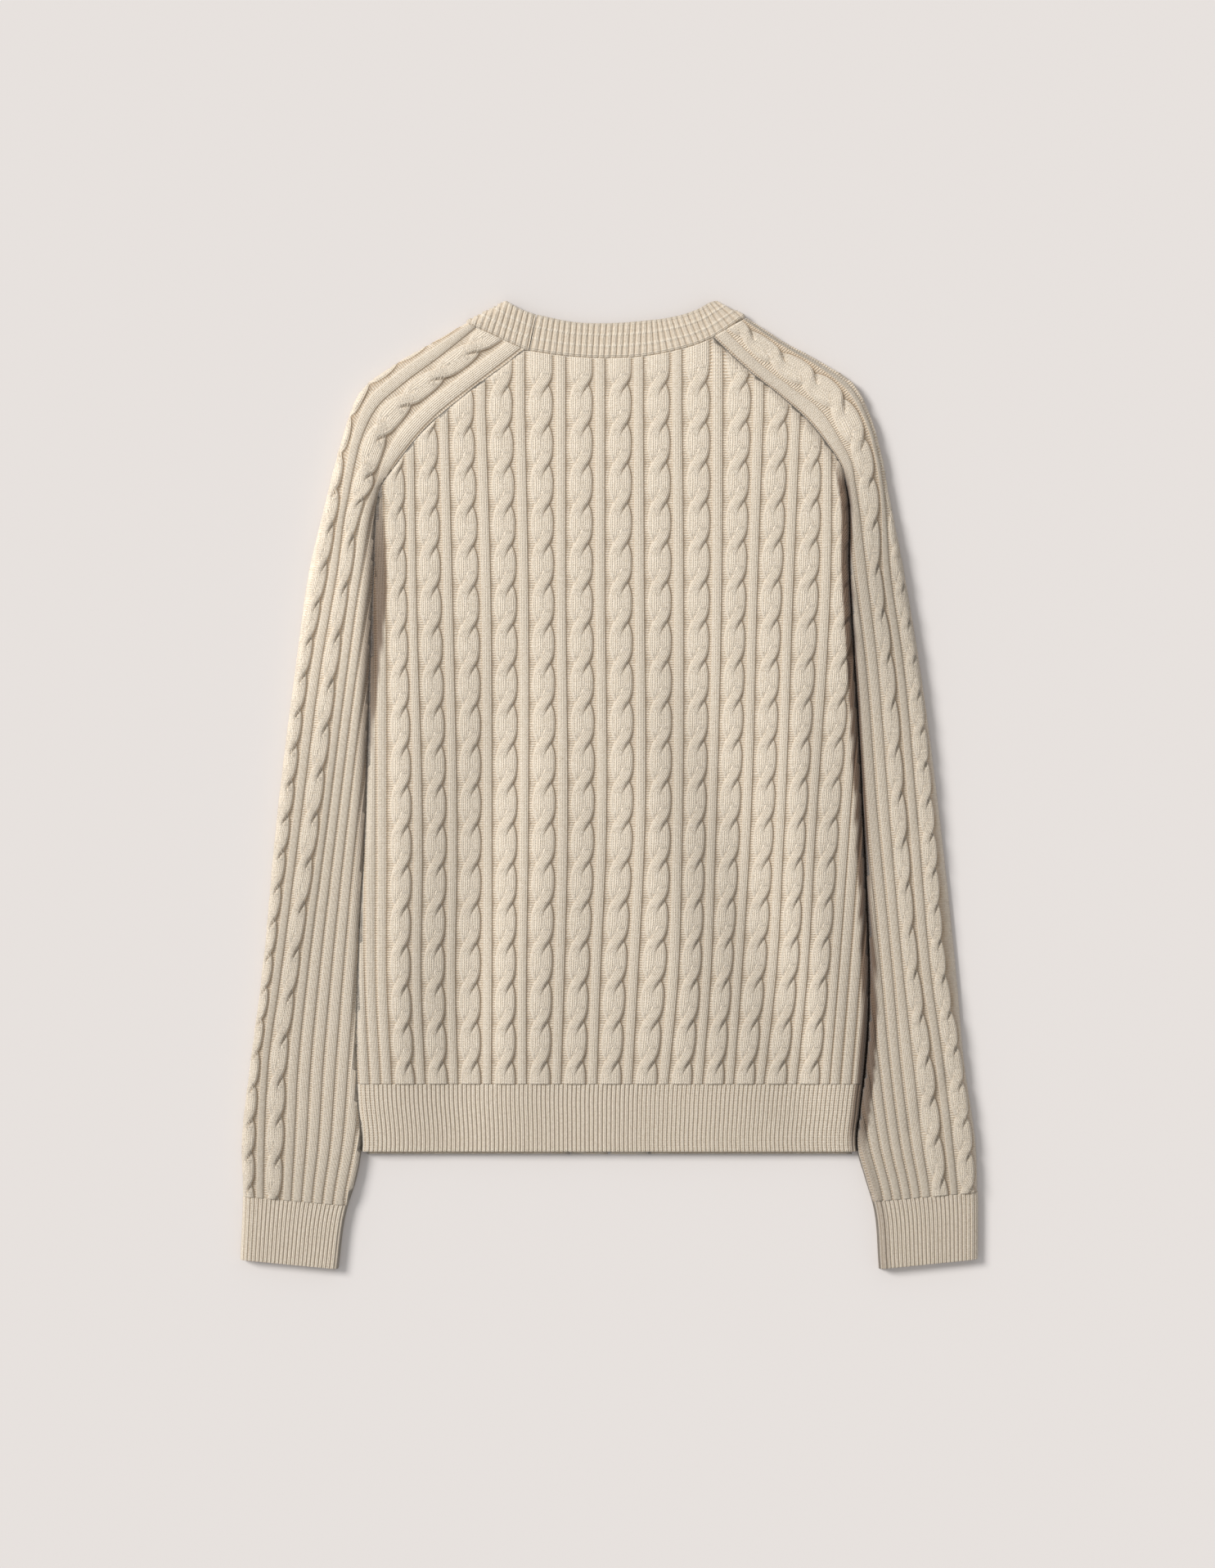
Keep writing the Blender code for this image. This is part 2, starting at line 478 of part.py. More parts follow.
def sheet(name, outer, inner, slashes=None):
    """Closed solid from outer rows {t: (keys, points)} and inner rows {t: (keys, points)}."""
    points, faces, numbers = [], [], []
    for rows in (outer, inner):
        numbered = []
        for t in sorted(rows):
            keys, row = rows[t]
            numbered.append((t, keys, range(len(points), len(points) + len(row))))
            points.extend(row)
        numbers.append(numbered)
        for k, (low, high) in enumerate(zip(numbered, numbered[1:])):
            b_first = slashes[k] if slashes and rows is outer else True
            zip_rows(faces, low[2], high[2], low[1], high[1], b_first)
    for k in (0, -1):
        rim(faces, numbers[0][k][2], numbers[1][k][2], points)
        edge_o, edge_i = ([row[2][k] for row in rows] for rows in numbers)
        times_o, times_i = ([row[0] for row in rows] for rows in numbers)
        zip_rows(faces, edge_o, edge_i, times_o, times_i)
    return solid(name, np.array(points), faces)


def solid(name, points, faces):
    """Object of one closed mesh, its faces pointing out."""
    mesh = bpy.data.meshes.new(name)
    bm = bmesh.new()
    verts = [bm.verts.new(p * MM) for p in points]
    for face in faces:
        bm.faces.new([verts[i] for i in face])
    bmesh.ops.recalc_face_normals(bm, faces=bm.faces)
    bm.to_mesh(mesh)
    bm.free()
    obj = bpy.data.objects.new(name, mesh)
    bpy.context.collection.objects.link(obj)
    mesh.materials.append(cloth(name))
    return obj


def slab(name, outline):
    """Flat piece of the lower layer with the given plan outline."""
    mesh = bpy.data.meshes.new(name)
    bm = bmesh.new()
    face = bm.faces.new([bm.verts.new((x * MM, y * MM, 0.0)) for x, y in outline])
    top = bmesh.ops.extrude_face_region(bm, geom=[face])
    raised = [v for v in top["geom"] if isinstance(v, bmesh.types.BMVert)]
    bmesh.ops.translate(bm, verts=raised, vec=(0, 0, UNDER * MM))
    bmesh.ops.triangulate(bm, faces=bm.faces)
    bmesh.ops.recalc_face_normals(bm, faces=bm.faces)
    bm.to_mesh(mesh)
    bm.free()
    obj = bpy.data.objects.new(name, mesh)
    bpy.context.collection.objects.link(obj)
    mesh.materials.append(cloth(name))
    return obj


def cloth(name):
    """The oatmeal wool of one piece."""
    material = bpy.data.materials.new("wool_" + name)
    material.use_nodes = True
    shader = material.node_tree.nodes["Principled BSDF"]
    shader.inputs["Base Color"].default_value = OATMEAL
    shader.inputs["Roughness"].default_value = 0.95
    shader.inputs["Metallic"].default_value = 0.0
    return material


# ---- pieces -------------------------------------------------------------------------------------------
def make_back():
    """Back panel: thirteen cables and the ribs between them, cut by the raglan seams and the neck."""
    steps = (0.5, 0.4, 0.0)
    crossings = TWIST_TOP - TWIST_PITCH * np.arange(18)
    low, high = HEM_TOP + GAP + 0.3, NECKLINE[0, 1] - GAP
    fixed = (low, low + 2.5, 338.5, high - 2.5, high) + UNDERARM_LEFT + UNDERARM_RIGHT
    levels = np.concatenate((crossings - 8.0, crossings + 8.0))
    levels = sorted([float(v) for v in levels if min(abs(v - e) for e in fixed) > 3.0] + list(fixed))
    outer, inner, slashes = {}, {}, []
    for n, v in enumerate(levels):
        if n % 3 == 0 or v in fixed:
            keys, places = plain_places(v, INNER_OFFSETS)
            inner[v] = inner_row(body, v, keys, places, steps, 1)
        phase = (v - TWIST_TOP) / TWIST_PITCH
        slashes.append((phase + 0.5) % 1.0 < 0.5)
        keys, d, heights = back_row(v, phase)
        if v in (low, high):
            keys, d, heights = rim_row(plain_places(v, RIM_OFFSETS)[1], d, keys)
        outer[v] = outer_row(body, v, keys, d, heights, steps, 1)
    return sheet("back", outer, inner, slashes)


def back_row(v, phase):
    """Keys, across and heights of a raised row of the back."""
    first, last = body_ends(v)
    left, right = row_end(SIDE_LEFT, v, 1), row_end(SIDE_RIGHT, v, -1)
    columns = [c for c in back_columns(v) if left + 3.0 < c[1] < right - 3.0]
    starts = [(-9.0, first)] + ([(LEFT_EDGE, left), (-7.0, left + 1.5)] if first < left - 0.1 else [])
    stops = [(31.0, right - 1.5), (RIGHT_EDGE, right)] if last > right + 0.1 else []
    stops.append((33.0, last))
    keys, d = np.array(starts + [(10.0 + c[0], c[1]) for c in columns] + stops).T
    raised = [0.0] * len(starts) + [column_height(c[2], phase) for c in columns] + [0.0] * len(stops)
    return keys, d, np.array(raised) * smooth(np.minimum(d - left, right - d) / SEAM_EASE)


def plain_places(v, offsets):
    """Keys and coarse values of across for a plain row of the back; a side's own keys come and go."""
    first, last = body_ends(v)
    left, right = row_end(SIDE_LEFT, v, 1), row_end(SIDE_RIGHT, v, -1)
    rows = [(-9.0, first)]
    if first < left - 0.1:
        rows += [(LEFT_EDGE + k, left + offset) for k, offset in enumerate(offsets)]
    rows += zip(np.linspace(11.0, 23.5, 12), np.linspace(left + 16, right - 16, 12))
    if last > right + 0.1:
        rows += [(RIGHT_EDGE - k, right - offset) for k, offset in enumerate(offsets)][::-1]
    keys, places = np.array(rows + [(33.0, last)]).T
    return keys, places


def rim_row(places, d, keys):
    """Keys, across and heights of a flat end row, its keys read off the raised row (d, keys) beside it."""
    return np.interp(places, d, keys), places, 0 * places


def make_hem_back():
    """Ribbed hem under the back."""
    steps, count = (0.5, 0.4, 0.0), 2 * HEM_RIBS
    low, high = HEM_END, HEM_TOP - GAP
    outer, inner = {}, {}
    for v in (low, low + 1.5, 0.5 * (low + high), high - 2.0, high):
        keys, places = plain_places(v, INNER_OFFSETS)
        inner[v] = inner_row(body, v, keys, places, steps, 1)
        first, last = body_ends(v)
        left, right = row_end(SIDE_LEFT, v, 1), row_end(SIDE_RIGHT, v, -1)
        ribs = np.arange(count + 1)
        d = np.concatenate(([first], left + (right - left) * ribs / count, [last]))
        keys = np.concatenate(([-9.0], 10.0 + 14.0 * ribs / count, [33.0]))
        heights = np.concatenate(([0.0], FINE_RIB_HEIGHT * (ribs % 2), [0.0]))
        heights = heights * smooth(np.minimum(d - left, right - d) / SEAM_EASE)
        if v in (low, high):
            keys, d, heights = rim_row(plain_places(v, RIM_OFFSETS)[1], d, keys)
        outer[v] = outer_row(body, v, keys, d, heights, steps, 1)
    return sheet("hem_back", outer, inner)


def make_sleeve(name, sleeve):
    """Raglan sleeve with two cables, folded at the outer edge and open along its lower seam."""
    steps, sign = (0.5, 0.3, 0.0), sleeve.sign
    end = sleeve.rows[CUFF_ROW]
    fine = np.linspace(0, end, 600)
    turns = np.array([sleeve.turns(t)[1] for t in fine])
    wanted = np.concatenate([(k - 0.25, k + 0.25) for k in range(0, 22)])
    inside = wanted[(wanted > turns[0]) & (wanted < turns[-1])]
    times = [float(np.interp(w, turns, fine)) for w in inside]
    low, high = GAP, end - GAP
    fixed = [low, low + 2.0, 16.0, sleeve.rows[CAP_ROWS], sleeve.rows[CAP_ROWS + 1], high - 2.0, high]
    times = sorted([t for t in times if min(abs(t - f) for f in fixed) > 3.0] + fixed)
    outer, inner, slashes = {}, {}, []
    for n, t in enumerate(times):
        if n % 2 == 0 or t in fixed:
            keys, places = sleeve_places(sleeve, t, INNER_OFFSETS)
            inner[t] = inner_row(sleeve.surface, t, keys, places, steps, sign)
        phase = (sleeve.turns(t)[1] + 0.26) % 1.0
        slashes.append((phase < 0.5) == (sign > 0))
        keys, d, heights = sleeve_row(sleeve, t)
        if t in (low, high):
            keys, d, heights = rim_row(sleeve_places(sleeve, t, RIM_OFFSETS)[1], d, keys)
        outer[t] = outer_row(sleeve.surface, t, keys, d, heights, steps, sign)
    return sheet(name, outer, inner, slashes)


def sleeve_row(sleeve, t):
    """Keys, d and heights of a raised row of a sleeve."""
    width, last = sleeve.section(t)[2], sleeve.ends(t)[1]
    keys, places = sleeve_places(sleeve, t, RIM_OFFSETS)
    side = [(31.0, width - 1.5, 0.0), (RIGHT_EDGE, width, 0.0)] if last > width + 0.1 else []
    columns = [c for c in sleeve_columns(sleeve, t) if c[1] < width - 3.0]
    below = [(key, place, 0.0) for key, place in zip(keys[:4], places[:4])]
    keys, d, heights = np.array(below + columns + side + [(33.0, last, 0.0)]).T
    return keys, d, heights * smooth((width - d) / SEAM_EASE)


def sleeve_places(sleeve, t, offsets):
    """Keys and coarse places: along the table, round the fold, over the top, down the inner side."""
    first, last = sleeve.ends(t)
    width, wrap = sleeve.section(t)[2], sleeve.wrap(sleeve.section(t)[4])
    rows = [(-3.0, first), (-2.0, 0.5 * (first - wrap)), (-1.0, -wrap), (-0.5, -0.5 * wrap), (0.0, 0.0)]
    rows += [(0.3, 2.0), (0.6, 5.0), (1.0, 9.0), (3.0, 0.5 * width)]
    if last > width + 0.1:
        rows += [(5.0, width - 14.0)]
        rows += [(RIGHT_EDGE - k, width - offset) for k, offset in enumerate(offsets)][::-1]
    else:
        rows += [(5.0, width - 8.0)]
    keys, places = np.array(rows + [(33.0, last)]).T
    return keys, places


def make_cuff(name, sleeve):
    """Ribbed cuff, folded at the outer edge like the sleeve."""
    steps, sign = (0.5, 0.3, 0.0), sleeve.sign
    low, high = sleeve.rows[CUFF_ROW] + GAP, sleeve.rows[CUFF_ROW + 1]
    outer, inner = {}, {}
    for t in (low, low + 2.0, high - 1.5, high):
        keys, places = sleeve_places(sleeve, t, INNER_OFFSETS)
        inner[t] = inner_row(sleeve.surface, t, keys, places, steps, sign)
        width, last = sleeve.section(t)[2], sleeve.ends(t)[1]
        ribs = np.arange(2 * CUFF_RIBS + 1)
        d = np.concatenate((places[:4], width * ribs / (2 * CUFF_RIBS), [last]))
        heights = np.concatenate((np.zeros(4), FINE_RIB_HEIGHT * (ribs % 2), [0.0]))
        heights *= smooth((width - d) / SEAM_EASE)
        keys = np.concatenate((keys[:4], 6.0 * ribs / (2 * CUFF_RIBS), [33.0]))
        if t in (low, high):
            keys, d, heights = rim_row(sleeve_places(sleeve, t, RIM_OFFSETS)[1], d, keys)
        outer[t] = outer_row(sleeve.surface, t, keys, d, heights, steps, sign)
    return sheet(name, outer, inner)


def make_band(name, band, front_row, sign):
    """Ribbed band: back neck, over the shoulder fold, then flat down the front to the hem."""
    steps = (0.5, 0.02, 1.0)
    ribbed, end = band.rows[front_row], band.rows[-1]
    count = 2 * int(ribbed / BAND_RIB_PITCH)
    times = [GAP] + list(ribbed * np.arange(1, count + 1) / count)
    times += band_front_times(band, front_row)[1:]
    outer, inner = {}, {}
    for n, u in enumerate(times):
        raised = FINE_RIB_HEIGHT if n % 2 and n < count else 0.0
        places, near_fold = band_places(band, u)
        heights = np.where((places > 0.05) & (places < 0.95), raised, 0.0)
        outer[u] = outer_row(band.surface, u, places, places, heights, steps, sign)
        if n % 4 == 0 or n < count and near_fold or n > count or u == end:
            inner[u] = inner_row(band.surface, u, places, places, steps, sign)
    return sheet(name, outer, inner)


def band_places(band, u):
    """Values of v for row u, closer together where the row crosses the fold, and whether it is near it."""
    start, stop = band.flat_depths(u)
    near_fold = min(start, stop) < FOLD_REACH and max(start, stop) > -FOLD_REACH
    places = [0.0, 0.1, 0.5, 0.9, 1.0]
    if near_fold and abs(stop - start) > 0.1:
        crossing = [(depth - start) / (stop - start) for depth in (-7.0, -2.5, 0.0, 2.5, 7.0)]
        places += [v for v in crossing if 0.04 < v < 0.96 and min(abs(v - p) for p in places) > 0.03]
    return np.array(sorted(places)), near_fold


def band_front_times(band, front_row):
    """Rows of the band's flat front part; the last stretch is straight."""
    ends = [float(u) for u in band.rows[front_row:]]
    curved = [u for a, b in zip(ends[:-2], ends[1:-1]) for u in (a, 0.5 * (a + b))]
    return curved + ends[-2:]


def make_front(name, sleeve, band, front_row, sign):
    """Plain front panel of the lower layer: side, raglan seam, neckline and centre edge."""
    side = []
    for y in np.linspace(HEM_TOP + 0.2, sleeve.underarm[0], 13):
        rounding = curve(sleeve.side[:, 0], sleeve.side[:, 2], y)
        inset = GAP + WALL + SIDE_GAP + 0.3 * (rounding - 5.0)
        side.append((side_x(sleeve.side, y) - sign * inset, y))
    corner = [(side_x(sleeve.side, sleeve.underarm[1]) - sign * 3.0, sleeve.underarm[1] - 1.0)]
    cap = sleeve.rows[CAP_ROWS]
    raglan = [sleeve.under_edge(t, HIDDEN_GAP) for t in np.arange(cap - 7.0, 16.0, -7.0)]
    edge = [band.seam_edge(u, HIDDEN_GAP) for u in band_front_times(band, front_row)]
    raglan = [p for p in raglan if p[1] < edge[0][1] + 12]
    centre = edge[-1][0]
    edge = [p for p in edge if p[1] > HEM_TOP + 5]
    return slab(name, side + corner + raglan + edge + [(centre, HEM_TOP + 0.2)])


def make_hem_front(name, sleeve, band, sign):
    """Lower layer of the hem, which shows a little below the upper one."""
    centre = band.seam_edge(band.rows[-1], HIDDEN_GAP)[0]
    levels = np.linspace(FRONT_HEM_END, HEM_TOP - 0.2, 4)
    side = [(side_x(sleeve.side, max(y, HEM_END)) - sign * (GAP + WALL + SIDE_GAP), y) for y in levels]
    return slab(name, side + [(centre, HEM_TOP - 0.2), (centre, FRONT_HEM_END)])


def main():
    for obj in list(bpy.data.objects):
        bpy.data.objects.remove(obj)
    left = Sleeve(SLEEVE_LEFT, SIDE_LEFT, UNDERARM_LEFT, -1)
    right = Sleeve(SLEEVE_RIGHT, SIDE_RIGHT, UNDERARM_RIGHT, 1)
    band_left, band_right = Band(BAND_LEFT, FOLD_LEFT), Band(BAND_RIGHT, FOLD_RIGHT)
    make_back()
    make_hem_back()
    make_sleeve("sleeve_left", left)
    make_sleeve("sleeve_right", right)
    make_cuff("cuff_left", left)
    make_cuff("cuff_right", right)
    make_band("band_left", band_left, BAND_FRONT_LEFT, 1)
    make_band("band_right", band_right, BAND_FRONT_RIGHT, -1)
    make_front("front_left", left, band_left, BAND_FRONT_LEFT, -1)
    make_front("front_right", right, band_right, BAND_FRONT_RIGHT, 1)
    make_hem_front("hem_front_left", left, band_left, -1)
    make_hem_front("hem_front_right", right, band_right, 1)


main()
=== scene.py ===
"""Looks of a cable-knit cardigan laid flat with its back up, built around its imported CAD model.

x runs across (the wearer's right is at +x), y from hem to neck and z up from the table, as in the CAD
part. Sizes are millimetres until a mesh is made. Each piece of cloth is a closed shell of rows: the base
surface comes from the part's own tables, and cables and ribs stand on it with their stitches as bump.
"""

import bmesh
import bpy
import numpy as np
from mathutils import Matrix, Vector

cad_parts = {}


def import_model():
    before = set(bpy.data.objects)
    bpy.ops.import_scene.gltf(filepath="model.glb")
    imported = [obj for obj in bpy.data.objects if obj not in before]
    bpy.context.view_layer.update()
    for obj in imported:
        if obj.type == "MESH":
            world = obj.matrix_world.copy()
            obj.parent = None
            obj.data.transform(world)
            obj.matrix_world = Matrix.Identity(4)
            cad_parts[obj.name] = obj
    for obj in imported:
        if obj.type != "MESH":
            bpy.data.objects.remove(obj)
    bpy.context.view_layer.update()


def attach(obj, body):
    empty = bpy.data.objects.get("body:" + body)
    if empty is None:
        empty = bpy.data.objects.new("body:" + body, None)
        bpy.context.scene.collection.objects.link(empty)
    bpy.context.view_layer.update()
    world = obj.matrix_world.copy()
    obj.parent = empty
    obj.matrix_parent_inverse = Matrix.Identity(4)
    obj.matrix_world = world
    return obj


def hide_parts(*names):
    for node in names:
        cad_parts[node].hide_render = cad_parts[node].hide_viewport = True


# ---- driving sizes, mm: the part's own ----
MM = 0.001
WALL, UNDER, LAYER_GAP = 3.0, 4.5, 0.3  # cloth between its ribs, the pressed layer below, and between them
GAP = 0.03  # each piece keeps this from the middle of a seam
SIDE_CLEAR, CLEAR_TOP, CLEAR_FADE = 0.1, 220.0, 20.0  # and the body this more beside the sleeves
HIDDEN_GAP, SIDE_GAP, UNDER_RETREAT = 1.0, 1.5, 0.35
SEAM_EASE, FOLD_EASE = 4.0, 8.0  # the relief grows over these distances from a seam and from a fold
LOFT_MID, LOFT_REACH, LOFT_FADE = 1.9, 1.6, 0.15  # the last is a share of a fold's length, past its ends
SIDE_LOW, SIDE_FALL = 3.0, 40.0  # height of the sides, and the distance over which they fall to it
FOLD_RADIUS, FOLD_TIGHT, FOLD_WRAP = 8.0, 3.4, 1.3
SIDE_RIB = 9.0  # pitch of the ribs beside the cables
ROUNDING = 5.0  # usual rounding of the sides, as in the tables below
TWIST_PITCH, CROSSING_TOP, CROSSINGS = 32.1, 323.1, 18  # the back's crossings, at their upper notch
HEM_TOP, HEM_END, FRONT_HEM_END = -241.6, -296.0, -298.5
HEM_RIBS, CUFF_RIBS, FRONT_RIBS, BAND_RIB_PITCH = 115, 25, 49, 4.8
SLOPE, SLOPE_ZERO, SLOPE_FADE, NECK_BEND = 0.019, -40.0, 90.0, 320.0

# ---- knit: heights in mm, places as shares of a repeat ----
RIB_HEIGHT, CABLE_HEIGHT, CROSS_LIFT, FINE_RIB_HEIGHT = 1.25, 1.9, 0.8, 0.6
RIB_POWER, CABLE_POWER, SOFT_POWER, STEEP = 5.0, 6.0, 3.0, 0.6  # how square each relief is, and its flanks
VALLEY, LEFT_VALLEY, VALLEY_END = 0.8, 0.3, 0.36  # depths beside the front strand, and where they end
CROSS_SPREAD = 0.26  # of a crossing along the cable, in pitches
SIDE_RIB_SHARE, SLEEVE_RIB_SHARE, FINE_RIB_SHARE = (0.13, 0.96), (0.1, 0.88), (0.07, 0.93)  # rib in its purl
WALES = 4  # in each strand
COURSE = 2.0  # height of a stitch
EDGE_SHIFT = 0.9  # from the part's cable edges to the dark line beside the rib
CABLE_START, CABLE_MIDDLE, CABLE_HALF, RIB_START = 0.085, 0.388, 0.303, 0.748
LEFT_CREASE_SHADE, FINE_CREASE_SHADE = 0.3, 0.7  # painted crease shade left of a rib, and in fine ribs; it is 1 right of a rib, which faces away from the light
BAND_HEIGHT, BAND_CREASE_SHADE, BAND_BULGE = 1.15, 0.6, 0.03  # the middle one: painted shade between the band's ribs; the last: how far a rib stands out at the join
PRESSED = 0.6  # relief of the lower layer, against the table
SLEEVE_RELIEF = 1.25  # of the back's
SEAM_REACH = 0.8  # how far a sleeve's end goes under the neckband's edge
MARGIN, WELL_INSIDE = 0.7, 7.0  # from a corner to the outer columns, and to the inner face's
RELIEF_FROM = 4.0  # the outer relief dies away as the cloth comes down to this height and less
CABLE_SHARES = np.array([
    0, 0.02, 0.06, 0.12, 0.19, 0.27, 0.35, 0.42, 0.49, 0.56, 0.63, 0.7, 0.77, 0.84, 0.9, 0.95, 0.985, 1])
RIB_SHARES = np.array([0, 0.03, 0.12, 0.5, 0.88, 0.97, 1])
SIDE_SHARES = np.array([0, 0.13, 0.16, 0.24, 0.56, 0.88, 0.96])
SLEEVE_RIB_SHARES = np.array([0, 0.05, 0.1, 0.13, 0.2, 0.5, 0.78, 0.85, 0.88, 0.94])
FINE_SHARES = np.array([0, 0.07, 0.2, 0.5, 0.8, 0.93])
BAND_SHARES = np.array([0, 0.08, 0.2, 0.35, 0.5, 0.65, 0.8, 0.92])
BAND_PLACES = (0.02, 0.06, 0.12, 0.2, 0.3, 0.42, 0.5, 0.58, 0.7, 0.8, 0.88, 0.94, 0.98, 1)  # across the band
ROW_TURNS = np.array([  # rows of the back, in pitches from a crossing
    -0.45, -0.36, -0.28, -0.21, -0.15, -0.09, -0.04, 0.01, 0.06, 0.115, 0.175, 0.24, 0.31, 0.38, 0.465])
SLEEVE_COURSE, FRONT_COURSE = 2.0, 5.0  # spacing of the rows there

# ---- soft forms of the outer face, and painted shade beside the sleeves; tables start with y ----
GROOVE_SHADES = np.array([  # how dark the painted shade in the groove beside a sleeve is: left on the body, left on the sleeve, right
    (-297, 0, 0, 0.3), (-275, 0, 0, 0.8), (-215, 0, 0, 0.9), (-126, 0, 0.15, 0.92), (-60, 0, 0.35, 0.93),
    (6, 0.35, 0.6, 0.93), (66, 0.75, 0.7, 0.93), (132, 0.85, 0.7, 0.93), (190, 0.78, 0.6, 0.92),
    (225, 0.65, 0.5, 0.92), (240, 0.4, 0.3, 0.9), (256, 0, 0, 0.2)])
LEFT_GROOVE, RIGHT_GROOVE = 10.0, 7.4  # widths of the painted groove shade on the left sleeve and on the right of the body
BODY_SHADE, SLEEVE_SHADE = (0.3, 14.0), (0.35, 12.0)  # painted soft shade beside the right groove: strength, width
SLEEVE_REACH = ((-240, -225, -93, 40, 200), (9, 8.5, 4.6, 2.8, 3.2))  # width of the painted groove shade on the right sleeve
TROUGH_REACH = ((0, 30, 66, 90, 105, 137, 171, 211, 237, 248),  # width of the painted groove shade, and of the trough, on the left of the body
                (2, 4, 7.5, 8.5, 10, 12.5, 12.5, 9, 5, 2))
TROUGH_DEPTH, TROUGH_FLOOR = 3.0, 3.0  # how far it goes down there, and to which height
# long soft waves of the body: x and lean, half width, y and half length, height
WAVES = ((-105, 0.1, 28, -90, 190, -2.5), (-163, 0.05, 20, -40, 200, 1.5), (-52, 0.1, 26, -90, 150, 1),
         (46, -0.2, 24, -90, 170, 1), (110, -0.25, 28, -80, 190, -2.5), (163, -0.1, 20, -60, 200, 1.3))
WAVE_ABOVE = 6.0  # what lies lower than this has no waves
UNDERARM = (-191.0, 252.0)  # where small gathers fan out under the left arm
GATHER_REACH, GATHER_HEIGHT, GATHERS = 66.0, 1.5, 12.0
FILL_LEFT = ((-300, -290, -268, -120, 0, 248), (0, 5, 7.5, 7.5, 6.5, 6))  # least heights beside the sleeves
FILL_RIGHT = ((-300, -200, 0, 248), (0, 3.5, 4.5, 4.5))
RELIEF = ((-240, -100, 120, 320), (1.3, 1.1, 1, 0.9))  # the back's relief at each y

# ---- colours and stage ----
TONE, SHADE, FLECK = (0.91, 0.83, 0.715, 1.0), (0.69, 0.605, 0.485, 1.0), (0.5, 0.4, 0.29, 1.0)
# painted shade: wool colours for the shade between stitches, in purl and in creases, and for the deep shadow
# in the groove beside the sleeves
SHADOW_WOOL, GROOVE_SHADOW_WOOL = (0.44, 0.305, 0.18, 1.0), (0.12, 0.068, 0.04, 1.0)
BAND_TONE, WAVE_PAINTED_SHADE = 0.86, 0.85  # tone of the band, and how much a wave's slope changes the painted light and shade
PAINTED_LIGHT_UP, PAINTED_LIGHT_ZERO, PAINTED_LIGHT_ACROSS = 0.00031, 70.0, -0.00015  # painted light and shade, lighter upwards and to the left: the change for each mm upwards and across
ARM_PAINTED_LIGHT, ARM_START, ARM_FADE, ARM_MIDDLE, ARM_LENGTH = 0.17, 188.0, 20.0, 165.0, 130.0  # painted light and shade of the upper arms: lighter on the left one, which faces the light, darker on the right
LEG_SLOPE, STITCH_DEPTH = 1.3, 0.0006  # lean of a stitch's two legs, and its bump in metres
RECESS_DARK, PURL_DARK, CREASE_DARK = 0.3, 0.65, 0.58  # painted shade: share of SHADOW_WOOL between stitches, in purl and in creases
WOBBLE_NOISE, FUZZ_NOISE, MOTTLE_NOISE, FLECK_NOISE = (500, 2), (1500, 3), (560, 4), (900, 1)
WOBBLE, FUZZ, MOTTLE = 0.5, 0.5, 1.6  # how far each noise acts; above are its scale and detail
FLECK_ABOVE, FLECK_SHARE = 0.62, 0.35  # flecks lie where their noise is above this, and colour this much
WOOL_FINISH = {"Roughness": 0.92, "Sheen Weight": 0.25, "Sheen Roughness": 0.5, "Specular IOR Level": 0.2}
FLOOR_FINISH = {"Base Color": (0.727, 0.6945, 0.681, 1.0), "Roughness": 0.9, "Specular IOR Level": 0.1}
FLOOR_HALF, FLOOR_DROP = 4.0, 0.0003  # metres; it lies lower, so that undersides and floor aren't one
SUN_ENERGY, SUN_ANGLE, SUN_COLOUR = 2.8, 0.38, (1.0, 0.985, 0.96)
SUN_FROM = (-0.68, 0.36, 0.64)
ROOM_COLOUR, ROOM_STRENGTH = (1.0, 0.995, 0.99, 1.0), 0.53
CAMERA_DISTANCE, FRAME_HEIGHT, TOP_PLANE, SENSOR = 3.0, 1.265, 0.011, 36.0  # metres, and the sensor in mm
FRAME_CENTRE = (-0.0013, 0.0007)

# pitches below the notch, edge in half widths of the cable: of the front strand and of the one beneath
FRONT_EDGE = np.array([(-0.5, 1), (-0.35, 0.98), (-0.2, 0.9), (-0.1, 0.78), (0, 0.6), (0.1, 0.37),
                       (0.2, 0.18), (0.3, 0.05), (0.4, 0), (0.5, 0)])
BACK_EDGE = np.array([(0, 0.6), (0.08, 0.75), (0.17, 0.87), (0.27, 0.945), (0.37, 0.985), (0.46, 1)])

# ---- where the body meets the sleeves: raglan seam above, side crease below ----
# y, x, rounding of the body's side, rounding of the sleeve's side
SIDE_LEFT = np.array([
    (-391.1, -219, 5, 5), (-343, -212, 5, 5), (-318.4, -204.3, 5, 5), (-294, -200.3, 5, 5),
    (-251.1, -203.3, 5, 5), (-158.7, -203.3, 5, 5), (-92.7, -200.3, 5, 5), (-26.7, -197, 6, 6),
    (39.3, -195, 8, 8), (105.3, -193.1, 11, 12), (171.3, -190.4, 15, 14), (229.4, -187, 12, 12),
    (238.6, -185, 8, 8), (259.1, -171.3, 5, 5), (274.9, -159.4, 5, 5), (291.4, -144, 5, 5),
    (307.9, -124.5, 5, 5), (322, -106.8, 5, 5), (338.2, -84.8, 5, 5), (350.8, -69, 5, 5)])
